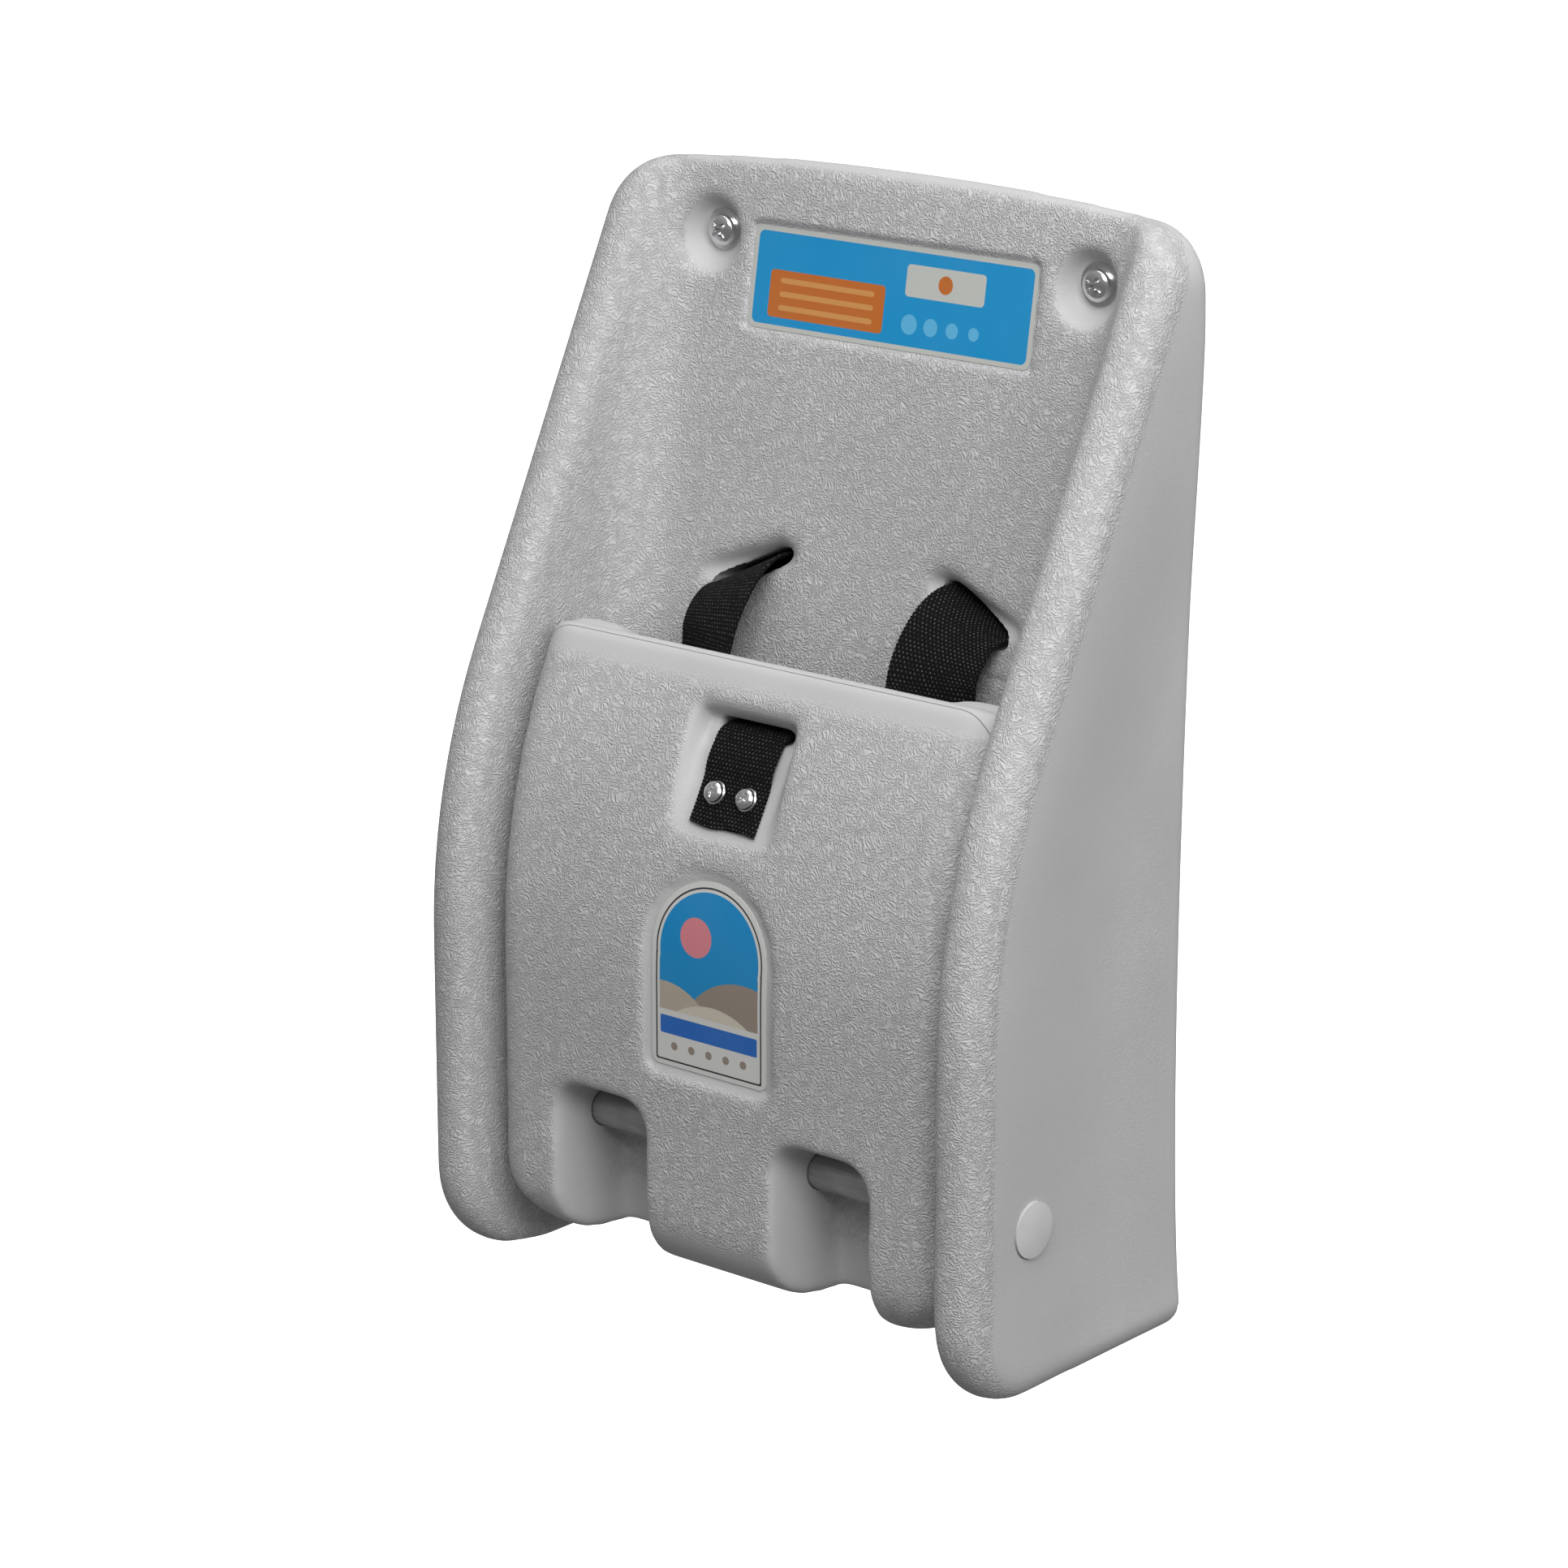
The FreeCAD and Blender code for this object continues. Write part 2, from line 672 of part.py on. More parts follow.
def make_hinge_rod():
    half = HALF_W - CAP_RECESS
    tube = rod_x(ROD_R, -half, half, HINGE_Y, HINGE_Z)
    return tube.cut(rod_x(ROD_R - ROD_WALL, -half, half, HINGE_Y, HINGE_Z))


def make_rod_end_cap(side):
    """A slightly domed cap whose plug sits in the end of the rod."""
    r = CAP_OD / 2
    ball_r = (r ** 2 + CAP_DOME ** 2) / (2 * CAP_DOME)
    disc = rod_x(r, HALF_W - CAP_RECESS, HALF_W + CAP_DOME, HINGE_Y, HINGE_Z)
    ball = Part.makeSphere(ball_r, Vec(HALF_W + CAP_DOME - ball_r, HINGE_Y, HINGE_Z))
    plug_r = ROD_R - ROD_WALL - ROD_FIT
    plug = rod_x(plug_r, HALF_W - CAP_RECESS - CAP_PLUG_L, HALF_W - CAP_RECESS, HINGE_Y, HINGE_Z)
    return on_side(disc.common(ball).fuse(plug).removeSplitter(), side)


def make_hinge_bush(side):
    """A flanged bush pressed into the end of the seat's bore."""
    tube = rod_x(BUSH_R, BUSH_SEAT_X - BUSH_L, BUSH_SEAT_X, HINGE_Y, HINGE_Z)
    flange_end = BUSH_SEAT_X + BUSH_FLANGE_T
    flange = rod_x(BUSH_FLANGE_OD / 2, BUSH_SEAT_X, flange_end, HINGE_Y, HINGE_Z)
    bore = rod_x(ROD_R + ROD_FIT, 0, HALF_W, HINGE_Y, HINGE_Z)
    return on_side(tube.fuse(flange).removeSplitter().cut(bore), side)


def along_tilt(run):
    """A step up the slanted front."""
    return Vec(0, math.sin(FRONT_TILT), math.cos(FRONT_TILT)) * run


def into_seat(depth):
    """A step square to the slanted front, into the seat."""
    return Vec(0, math.cos(FRONT_TILT), -math.sin(FRONT_TILT)) * depth


def inner_bend(inset):
    """The bend of the sitting face, moved into the seat by an inset."""
    y = SEAT_FACE_Y - inset
    radius = SEAT_INNER_BEND_R + inset
    offset = SEAT_SETBACK + SEAT_TOP_T - inset
    rise = (y + HOUSING_D - offset / math.cos(FRONT_TILT)) / math.tan(FRONT_TILT)
    return bend_points(y, KNEE_Z + rise - radius * math.tan(FRONT_TILT / 2), radius)


def seat_section(outer, inner, low_z, top_drop):
    """The seat's side view above a height, drawn in by an inset from each face."""
    inset = SEAT_SETBACK + outer
    front = front_y(0, inset)
    bend = bend_points(front, BEND_START_Z, BEND_R - inset)
    back = inner_bend(inner)
    tip = seat_tip() - along_tilt(top_drop)
    top_front = tip + into_seat(outer)
    top_back = tip + into_seat(SEAT_TOP_T - inner)
    toe = Vec(0, front, low_z)
    heel = Vec(0, back[0].y, low_z)
    return closed_face([
        line(heel, toe),
        line(toe, bend[0]),
        arc(*bend),
        line(bend[2], top_front),
        line(top_front, top_back),
        line(top_back, back[2]),
        arc(back[2], back[1], back[0]),
        line(back[0], heel),
    ])


def seat_tip():
    """The upper front edge of the folded seat."""
    return Vec(0, front_y(SEAT_TOP_Z, SEAT_SETBACK), SEAT_TOP_Z)


def seat_face_y(z):
    """Y of the sitting face at a height, above its rounded heel."""
    start, _, end = inner_bend(0.0)
    if z <= start.z:
        return start.y
    if z <= end.z:
        radius = SEAT_INNER_BEND_R
        return start.y + radius - math.sqrt(radius ** 2 - (z - start.z) ** 2)
    return end.y + (z - end.z) * math.tan(FRONT_TILT)


def face_lean(z):
    """How far the sitting face leans back from upright at a height."""
    start, _, end = inner_bend(0.0)
    if z >= end.z:
        return FRONT_TILT
    return math.asin(max(0.0, z - start.z) / SEAT_INNER_BEND_R)


def seat_plan(z):
    """The seat's outline at one height, with rounded corners."""
    rise = z - SEAT_BOTTOM_Z
    half = SEAT_HALF - quarter_round(rise, SEAT_BOTTOM_CORNER_R)
    front = front_y(z, SEAT_SETBACK) + quarter_round(rise, SEAT_FOOT_R)
    back = seat_face_y(z) - quarter_round(rise, SEAT_HEEL_R)
    depth = back - front
    edge_r = min(SEAT_EDGE_R, SEAT_EDGE_SHARE * depth)
    heel_r = min(SEAT_HEEL_R, SEAT_HEEL_SHARE * depth)
    k = 1 - math.sqrt(0.5)
    right = [
        Vec(half - edge_r, front, z),
        Vec(half - k * edge_r, front + k * edge_r, z),
        Vec(half, front + edge_r, z),
        Vec(half, back - heel_r, z),
        Vec(half - k * heel_r, back - k * heel_r, z),
        Vec(half - heel_r, back, z),
    ]
    left = [Vec(-p.x, p.y, p.z) for p in right]
    return Part.Wire([
        line(left[0], right[0]),
        arc(*right[0:3]),
        line(right[2], right[3]),
        arc(*right[3:6]),
        line(right[5], left[5]),
        arc(left[5], left[4], left[3]),
        line(left[3], left[2]),
        arc(left[2], left[1], left[0]),
    ])


def seat_blank():
    """The seat's outside: plans stacked up its height, cut square to the slanted front."""
    bend_end_z = BEND_START_Z + (BEND_R - SEAT_SETBACK) * math.sin(FRONT_TILT)
    corner_r = max(SEAT_BOTTOM_CORNER_R, SEAT_FOOT_R)
    corner_top = SEAT_BOTTOM_Z + corner_r
    heights = rounded_steps(SEAT_BOTTOM_Z, corner_r)
    heights += even_steps(corner_top, BEND_START_Z, 6)
    heights += even_steps(BEND_START_Z, bend_end_z, 6)
    heights += even_steps(bend_end_z, SEAT_TOP_Z + BEYOND / 2, 2)
    blank = Part.makeLoft([seat_plan(z) for z in heights], True, False)
    above = box(-HALF_W, HALF_W, -HOUSING_D, HOUSING_D, 0, HOUSING_D)
    above.rotate(Vec(0, 0, 0), Vec(1, 0, 0), -math.degrees(FRONT_TILT))
    above.translate(seat_tip())
    blank = blank.cut(above)
    rim = edges_between(blank, is_seat_top, lambda n: not is_seat_top(n))
    return blank.makeFillet(SEAT_TOP_EDGE_R, rim)


def is_seat_top(normal):
    return normal.dot(along_tilt(1.0)) > 0.999


def extrude_x(face, x0, x1):
    moved = face.copy()
    moved.translate(Vec(x0, 0, 0))
    return moved.extrude(Vec(x1 - x0, 0, 0))


def bolster(side):
    """The raised edge at one side of the sitting face."""
    bend = inner_bend(-BOLSTER_RISE)
    top = seat_tip() + along_tilt(BOLSTER_OVERHANG)
    top_front = top + into_seat(BOLSTER_SETBACK)
    top_back = top + into_seat(SEAT_TOP_T + BOLSTER_RISE)
    under = Vec(0, SEAT_FACE_Y - BOLSTER_SETBACK, BOLSTER_START_Z)
    ramp = Vec(0, bend[0].y, BOLSTER_START_Z + 2 * BOLSTER_RISE)
    face = closed_face([
        line(under, top_front),
        line(top_front, top_back),
        line(top_back, bend[2]),
        arc(bend[2], bend[1], bend[0]),
        line(bend[0], ramp),
        line(ramp, under),
    ])
    outer_x = SEAT_HALF - BOLSTER_INSET
    pad = extrude_x(face, outer_x - BOLSTER_W, outer_x)
    long_edges = [
        e for e in pad.Edges
        if abs(e.tangentAt(e.FirstParameter).x) < 1e-6
        and e.CenterOfMass.y > seat_face_y(e.CenterOfMass.z) + BOLSTER_RISE / 2
    ]
    return on_side(pad.makeFillet(BOLSTER_R, long_edges), side)


def notch_cut():
    """A channel up from the seat's lower edge that lays the hinge rod bare."""
    floor_y = HINGE_Y + ROD_R + NOTCH_ROD_GAP
    mouth_y = front_y(0, SEAT_SETBACK) - OVERCUT

    def outline(y, grow):
        half = NOTCH_W / 2 + grow
        top = NOTCH_TOP_Z + grow
        r = NOTCH_CORNER_R + grow / 2
        k = r * (1 - math.sqrt(0.5))
        x0, x1 = NOTCH_X - half, NOTCH_X + half
        return Part.Wire([
            line(Vec(x0, y, -BEYOND), Vec(x1, y, -BEYOND)),
            line(Vec(x1, y, -BEYOND), Vec(x1, y, top - r)),
            arc(Vec(x1, y, top - r), Vec(x1 - k, y, top - k), Vec(x1 - r, y, top)),
            line(Vec(x1 - r, y, top), Vec(x0 + r, y, top)),
            arc(Vec(x0 + r, y, top), Vec(x0 + k, y, top - k), Vec(x0, y, top - r)),
            line(Vec(x0, y, top - r), Vec(x0, y, -BEYOND)),
        ])

    return Part.makeLoft([outline(floor_y, 0.0), outline(mouth_y, NOTCH_FLARE)], True, True)


def badge_prism(margin):
    """The badge's arched front view, grown by a margin, as a bar along Y."""
    half = BADGE_W / 2 + margin
    low = BADGE_BOTTOM_Z - margin
    spring = BADGE_BOTTOM_Z + BADGE_H - BADGE_W / 2
    face = closed_face([
        line(Vec(-half, 0, low), Vec(half, 0, low)),
        line(Vec(half, 0, low), Vec(half, 0, spring)),
        arc(Vec(half, 0, spring), Vec(0, 0, spring + half), Vec(-half, 0, spring)),
        line(Vec(-half, 0, spring), Vec(-half, 0, low)),
    ])
    bar = face.extrude(Vec(0, -HOUSING_D - BEYOND, 0))
    corners = [
        e for e in bar.Edges
        if abs(e.tangentAt(e.FirstParameter).y) > 0.99 and e.CenterOfMass.z < low + OVERCUT
    ]
    return bar.makeFillet(BADGE_R + margin, corners)


def seat_body_below(depth):
    """The seat's side view with its outer face lowered, wider than the seat."""
    return extrude_x(seat_section(depth, 0.0, SEAT_BOTTOM_Z, 0.0), -HALF_W, HALF_W)


def crotch_floor(depth_in):
    """Two points of the strap recess's floor, or of a plane that far above it."""
    high_y = front_y(CROTCH_SLOT_Z, SEAT_SETBACK) + CROTCH_RECESS_TOP_DEPTH
    low_y = front_y(CROTCH_END_Z, SEAT_SETBACK) + CROTCH_RECESS_LOW_DEPTH
    high = Vec(0, high_y, CROTCH_SLOT_Z)
    low = Vec(0, low_y, CROTCH_END_Z)
    run = (high - low).normalize()
    out = Vec(0, -run.z, run.y)
    return high + out * depth_in, low + out * depth_in, run, out


def crotch_cuts():
    """The strap's recess in the outer face, its slot through the seat and the screw holes."""
    high, low, run, out = crotch_floor(0.0)
    upper = high + run * (CROTCH_SLOT_H / 2)
    lower = low - run * CROTCH_SLOT_H
    lean = run * (BEYOND * math.tan(CROTCH_RECESS_LEAN))
    points = [lower, upper, upper + out * BEYOND + lean, lower + out * BEYOND]
    face = Part.Face(Part.makePolygon(points + points[:1]))
    half = CROTCH_RECESS_W / 2
    recess = extrude_x(face, -half, half)
    slot_half = CROTCH_SLOT_L / 2
    z = CROTCH_SLOT_Z
    slot = box(
        -slot_half, slot_half, -HOUSING_D, 0, z - CROTCH_SLOT_H / 2, z + CROTCH_SLOT_H / 2
    )
    holes = []
    for side in SIDES.values():
        at, out = crotch_screw_seat(side)
        length = CROTCH_SCREW_L + OVERCUT
        holes.append(Part.makeCylinder(CROTCH_SCREW_D / 2, length, at, out * -1))
    return [recess, slot] + holes


def crotch_screw_seat(side):
    """Where a crotch strap screw's axis meets the recess's floor, and the way out."""
    high, low, run, out = crotch_floor(0.0)
    share = (CROTCH_SCREW_Z - low.z) / (high.z - low.z)
    at = low + (high - low) * share
    return Vec(side * CROTCH_SCREW_SPACING / 2, at.y, at.z), out


def seat_voids():
    """Sealed hollows of the seat, clear of the hinge, the strap recess and the slot."""
    low_z = max(HINGE_Z + BUSH_R, NOTCH_TOP_Z + NOTCH_FLARE) + BOSS_WALL
    split_z = CROTCH_END_Z - CROTCH_SLOT_H - BOSS_WALL
    deep = BADGE_RECESS + WALL
    half = SEAT_HALF - SEAT_EDGE_R
    whole = extrude_x(seat_section(deep, WALL, low_z, 2 * WALL), -half, half)
    wide = box(-half, half, -HOUSING_D, 0, 0, split_z)
    inner_x = CROTCH_RECESS_W / 2 + BOSS_WALL
    beside = box(inner_x, half, -HOUSING_D, 0, split_z - OVERCUT, SEAT_TOP_Z)
    return [whole.common(wide.fuse([beside, mirror_x(beside)]))]


def make_seat_panel():
    body = seat_blank().fuse([bolster(1), bolster(-1)]).removeSplitter()
    notch = notch_cut()
    body = body.cut([notch, mirror_x(notch)] + crotch_cuts())
    body = body.cut(badge_prism(BADGE_MARGIN).cut(seat_body_below(BADGE_RECESS)))
    reach = SEAT_HALF + OVERCUT
    bores = [rod_x(ROD_R + SEAT_BORE_GAP, -reach, reach, HINGE_Y, HINGE_Z)]
    spot_r = BUSH_FLANGE_OD / 2 + SEAT_BORE_GAP
    for side in SIDES.values():
        bush = rod_x(BUSH_R, BUSH_SEAT_X - BUSH_L, reach, HINGE_Y, HINGE_Z)
        spot = rod_x(spot_r, BUSH_SEAT_X, reach, HINGE_Y, HINGE_Z)
        bores += [on_side(bush, side), on_side(spot, side)]
    return body.cut(bores).cut(seat_voids())


def make_seat_badge():
    top = seat_body_below(BADGE_RECESS - LABEL_T)
    return badge_prism(0.0).common(top).cut(seat_body_below(BADGE_RECESS))


def ribbon(stations, width, thickness):
    """Webbing through stations of (centre, direction across, direction of thickness)."""
    wires = []
    for centre, across, up in stations:
        a = Vec(across).normalize() * (width / 2)
        b = Vec(up)
        b = (b - Vec(across) * (b.dot(across) / across.dot(across))).normalize() * (thickness / 2)
        points = [centre - a - b, centre + a - b, centre + a + b, centre - a + b, centre - a - b]
        wires.append(Part.makePolygon(points))
    return Part.makeLoft(wires, True, True)


def slot_across():
    return Vec(math.cos(SLOT_SLANT), 0, -math.sin(SLOT_SLANT))


def slot_up():
    return Vec(math.sin(SLOT_SLANT), 0, math.cos(SLOT_SLANT))


def turn_stations(x, y, z, radius, start, end):
    """Stations round an arc about X, with angles from +Y towards +Z."""
    steps = max(2, round(abs(end - start) / math.radians(20)))
    stations = []
    for k in range(steps + 1):
        a = start + (end - start) * k / steps
        out = Vec(0, math.cos(a), math.sin(a))
        stations.append((Vec(x, y, z) + out * radius, Vec(1, 0, 0), out))
    return stations


def strap_hang_y():
    """Where a shoulder strap hangs, just behind the top of the folded seat."""
    top_back = seat_tip() + into_seat(SEAT_TOP_T)
    return top_back.y + STRAP_SEAT_GAP + STRAP_T / 2 + STRAP_W / 2 * math.sin(STRAP_TURN)


def strap_bow():
    """The right shoulder strap from its slot's mouth, out and over until it hangs down."""
    mouth = panel_y(SLOT_Z)
    bow = mouth - strap_hang_y()
    turned = Vec(math.cos(STRAP_TURN), math.sin(STRAP_TURN), 0)
    stations = []
    for share in (0.0, 0.25, 0.5, 0.75, 1.0):
        a = share * math.pi / 2
        y = mouth - bow * math.sin(a)
        z = SLOT_Z - STRAP_DROP * (1 - math.cos(a))
        across = slot_across() * (1 - share) + turned * share
        out = Vec(0, -STRAP_DROP * math.sin(a), bow * math.cos(a))
        stations.append((Vec(SLOT_X, y, z), across, out))
    return stations


def yoke_y():
    """Front and back of the yoke, whose prongs lie just off the panel."""
    back = panel_y(YOKE_TOP_Z - YOKE_H - PRONG_L) - YOKE_GAP
    return back - YOKE_T, back


def yoke_slot_z():
    return YOKE_TOP_Z - YOKE_BAR - YOKE_SLOT_H / 2


def yoke_slot_half():
    """Half the length of a slot that takes a shoulder strap."""
    return STRAP_W / 2 + 2 * STRAP_FIT


def keeper_z():
    low = YOKE_TOP_Z + KEEPER_LIFT
    return low, low + KEEPER_L


def strap_stations():
    """The right shoulder strap from its rear loop, through the slot and round the yoke's bar."""
    front, back = yoke_y()
    radius = (back - front + STRAP_T) / 2 + STRAP_FIT
    turn_z = yoke_slot_z() - YOKE_SLOT_H / 2 + STRAP_FIT + STRAP_T / 2 + radius
    middle = (front + back) / 2
    level = Vec(1, 0, 0)
    top = keeper_z()[1] + STRAP_TAIL
    loop_y = bar_y() - bar_loop_r() + STRAP_T / 2
    stations = [(Vec(SLOT_X, loop_y, SLOT_Z), slot_across(), slot_up())] + strap_bow()
    stations.append((Vec(YOKE_SLOT_X, middle - radius, top), level, Vec(0, -1, 0)))
    stations += turn_stations(YOKE_SLOT_X, middle, turn_z, radius, -math.pi, 0.0)
    stations.append((Vec(YOKE_SLOT_X, middle + radius, top), level, Vec(0, 1, 0)))
    return stations


def make_shoulder_strap(side):
    webbing = ribbon(strap_stations(), STRAP_W, STRAP_T)
    centre = Vec(SLOT_X, bar_y(), SLOT_Z) - slot_across() * (STRAP_W / 2)
    loop = Part.makeCylinder(bar_loop_r(), STRAP_W, centre, slot_across())
    hole = Part.makeCylinder(STRAP_BAR_D / 2 + STRAP_FIT, STRAP_W, centre, slot_across())
    return on_side(loop.fuse(webbing).cut(hole), side)


def make_strap_bar(side):
    start = Vec(SLOT_X, bar_y(), SLOT_Z) - slot_across() * (STRAP_BAR_L / 2)
    return on_side(Part.makeCylinder(STRAP_BAR_D / 2, STRAP_BAR_L, start, slot_across()), side)


def make_strap_keeper(side):
    """A plastic loop round both layers of the strap, just above the yoke."""
    room = STRAP_T + 2 * STRAP_FIT
    front, back = yoke_y()
    y0, y1 = front - room, back + room
    z0, z1 = keeper_z()
    x0, x1 = YOKE_SLOT_X - yoke_slot_half(), YOKE_SLOT_X + yoke_slot_half()
    wall = KEEPER_WALL
    outer = box(x0 - wall, x1 + wall, y0 - wall, y1 + wall, z0, z1)
    return on_side(outer.cut(box(x0, x1, y0, y1, z0, z1)), side)


def make_harness_yoke():
    """A plate with a slot for each strap and two sprung prongs for the buckle."""
    y0, y1 = yoke_y()
    low_z = YOKE_TOP_Z - YOKE_H
    wide = YOKE_SLOT_X + yoke_slot_half() + YOKE_BAR
    waist = PRONG_W / 2 + PRONG_ARM
    waist_z = YOKE_TOP_Z - 2 * YOKE_BAR - YOKE_SLOT_H
    right = [Vec(wide, y0, YOKE_TOP_Z), Vec(wide, y0, waist_z), Vec(waist, y0, low_z)]
    left = [Vec(-p.x, p.y, p.z) for p in reversed(right)]
    outline = Part.makePolygon(right + left + right[:1])
    plate = Part.Face(outline).extrude(Vec(0, YOKE_T, 0))
    z = yoke_slot_z()
    slots = []
    for side in SIDES.values():
        x0 = side * YOKE_SLOT_X - yoke_slot_half()
        x1 = side * YOKE_SLOT_X + yoke_slot_half()
        slots.append(box(x0, x1, y0, y1, z - YOKE_SLOT_H / 2, z + YOKE_SLOT_H / 2))
    half = PRONG_W / 2
    tip_z = low_z - PRONG_L
    arm = box(half - PRONG_ARM, half, y0, y1, tip_z, low_z)
    barb = box(half, half + PRONG_BARB, y0, y1, tip_z, tip_z + PRONG_ARM)
    guide = box(-PRONG_ARM / 2, PRONG_ARM / 2, y0, y1, low_z - PRONG_GUIDE_L, low_z)
    pieces = [arm, barb, mirror_x(arm), mirror_x(barb), guide]
    return plate.cut(slots).fuse(pieces).removeSplitter()


def socket_face_y():
    """The back of the buckle socket lies just off the sitting face."""
    return SEAT_FACE_Y + STRAP_FIT


def socket_wall():
    """Thickness of the socket's front and back around the yoke's prongs."""
    return (SOCKET_T - YOKE_T) / 2 - STRAP_FIT


def make_buckle_socket():
    """The female half: a flat body, waisted for the fingers, open below, strap slot above."""
    y0 = socket_face_y()
    low_z = SOCKET_TOP_Z - SOCKET_H
    body = box(-SOCKET_W / 2, SOCKET_W / 2, y0, y0 + SOCKET_T, low_z, SOCKET_TOP_Z)
    corners = [e for e in body.Edges if abs(e.tangentAt(e.FirstParameter).y) > 0.99]
    body = body.makeFillet(SOCKET_R, corners)
    grip = rod_y(
        SOCKET_H / 2, SOCKET_W / 2 + SOCKET_H / 2 - SOCKET_WAIST, y0, y0 + SOCKET_T,
        (low_z + SOCKET_TOP_Z) / 2,
    )
    wall = socket_wall()
    mouth_half = PRONG_W / 2 + PRONG_BARB + STRAP_FIT
    mouth = box(
        -mouth_half, mouth_half, y0 + wall, y0 + SOCKET_T - wall, low_z - OVERCUT, low_z + PRONG_L
    )
    half = CROTCH_STRAP_W / 2 + STRAP_FIT
    strap = box(
        -half, half, y0 + wall, y0 + wall + STRAP_T + 2 * STRAP_FIT,
        SOCKET_TOP_Z - SOCKET_GRIP, SOCKET_TOP_Z + OVERCUT,
    )
    return body.cut([grip, mirror_x(grip), mouth, strap])


def crotch_stations():
    """The crotch strap from its screwed end, up the recess, through the slot, to the socket."""
    lift = STRAP_T / 2 + STRAP_FIT
    radius = STRAP_BEND_R
    level = Vec(1, 0, 0)
    high, low, run, out = crotch_floor(lift)
    turn_z = CROTCH_SLOT_Z - radius
    first = high - out * radius
    first = first + run * ((turn_z - first.z) / run.z)
    start = math.atan2(out.z, out.y)
    stations = [(low, level, out)]
    stations += turn_stations(0, first.y, turn_z, radius, start, math.pi / 2)

    lip_z = CROTCH_SLOT_Z - CROTCH_SLOT_H / 2
    inner = radius - lift
    second_y = seat_face_y(lip_z) - math.sqrt(inner ** 2 - (lip_z - turn_z) ** 2)
    end = -face_lean(turn_z)
    stations += turn_stations(0, second_y, turn_z, radius, math.pi / 2, end)

    leave = stations[-1][0]
    leave_lift = leave.y - seat_face_y(leave.z)
    end_lift = socket_face_y() + socket_wall() + lift - SEAT_FACE_Y
    meet_z = SOCKET_TOP_Z + radius
    steps = even_steps(leave.z, meet_z, 4)
    for k, z in enumerate(steps[:-1]):
        rise = leave_lift + (end_lift - leave_lift) * (k + 1) / len(steps)
        lean = face_lean(z)
        out = Vec(0, math.cos(lean), -math.sin(lean))
        stations.append((Vec(0, seat_face_y(z) + rise, z), level, out))
    stations.append((Vec(0, SEAT_FACE_Y + end_lift, meet_z), level, Vec(0, 1, 0)))
    tail_z = SOCKET_TOP_Z - SOCKET_GRIP + STRAP_FIT
    stations.append((Vec(0, SEAT_FACE_Y + end_lift, tail_z), level, Vec(0, 1, 0)))
    return stations


def make_crotch_strap():
    webbing = ribbon(crotch_stations(), CROTCH_STRAP_W, STRAP_T)
    holes = []
    for side in SIDES.values():
        at, out = crotch_screw_seat(side)
        start = at - out * OVERCUT
        length = STRAP_T + 2 * (STRAP_FIT + OVERCUT)
        holes.append(Part.makeCylinder(CROTCH_SCREW_D / 2 + STRAP_FIT, length, start, out))
    return webbing.cut(holes)


def set_on_strap(shape, side, above):
    """Turn a piece drawn along Y square to the strap recess and set it over a screw's place."""
    at, out = crotch_screw_seat(side)
    placed = shape.copy()
    placed.rotate(Vec(0, 0, 0), Vec(1, 0, 0), -math.degrees(math.atan2(out.z, -out.y)))
    placed.translate(at + out * above)
    return placed


def make_crotch_strap_screws():
    above = STRAP_T + 2 * STRAP_FIT + CROTCH_WASHER_T
    screw = pan_screw(
        CROTCH_SCREW_D, above, CROTCH_SCREW_L, CROTCH_SCREW_D, CROTCH_HEAD_D, CROTCH_HEAD_H
    )
    return Part.makeCompound([set_on_strap(screw, s, above) for s in SIDES.values()])


def make_crotch_strap_washers():
    above = STRAP_T + 2 * STRAP_FIT
    ring = washer(CROTCH_WASHER_OD, CROTCH_SCREW_D + 2 * STRAP_FIT, CROTCH_WASHER_T)
    return Part.makeCompound([set_on_strap(ring, s, above) for s in SIDES.values()])


def write_part(name, shape):
    placed = shape.copy()
    placed.translate(Vec(0, 0, -UPPER_SCREW_Z))
    placed.exportStep(os.path.join("parts", name + ".step"))


def main():
    os.makedirs("parts", exist_ok=True)
    write_part("housing", make_housing())
    write_part("instruction_label", make_instruction_label())
    for name, upper in (("upper", True), ("lower", False)):
        write_part(name + "_wall_screws", make_wall_screws(upper))
        write_part(name + "_wall_washers", make_wall_washers(upper))
    write_part("hinge_rod", make_hinge_rod())
    write_part("harness_yoke", make_harness_yoke())
    for name, side in SIDES.items():
        write_part("rod_end_cap_" + name, make_rod_end_cap(side))
        write_part("hinge_bush_" + name, make_hinge_bush(side))
        write_part(name + "_shoulder_strap", make_shoulder_strap(side))
        write_part(name + "_strap_bar", make_strap_bar(side))
        write_part(name + "_strap_keeper", make_strap_keeper(side))
    write_part("seat_panel", make_seat_panel())
    write_part("seat_badge", make_seat_badge())
    write_part("crotch_strap", make_crotch_strap())
    write_part("crotch_strap_screws", make_crotch_strap_screws())
    write_part("crotch_strap_washers", make_crotch_strap_washers())
    write_part("buckle_socket", make_buckle_socket())


main()
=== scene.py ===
"""Looks of a wall-mounted folding child seat, laid out as an add-on and run as a script.

Everything is in metres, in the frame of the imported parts: X across the seat, the wall at Y = 0,
the front towards -Y, Z up from the line between the two upper wall screws.
"""
import math

import bmesh
import bpy
import numpy as np
from bpy.props import FloatProperty, FloatVectorProperty, IntProperty, PointerProperty
from mathutils import Matrix, Vector


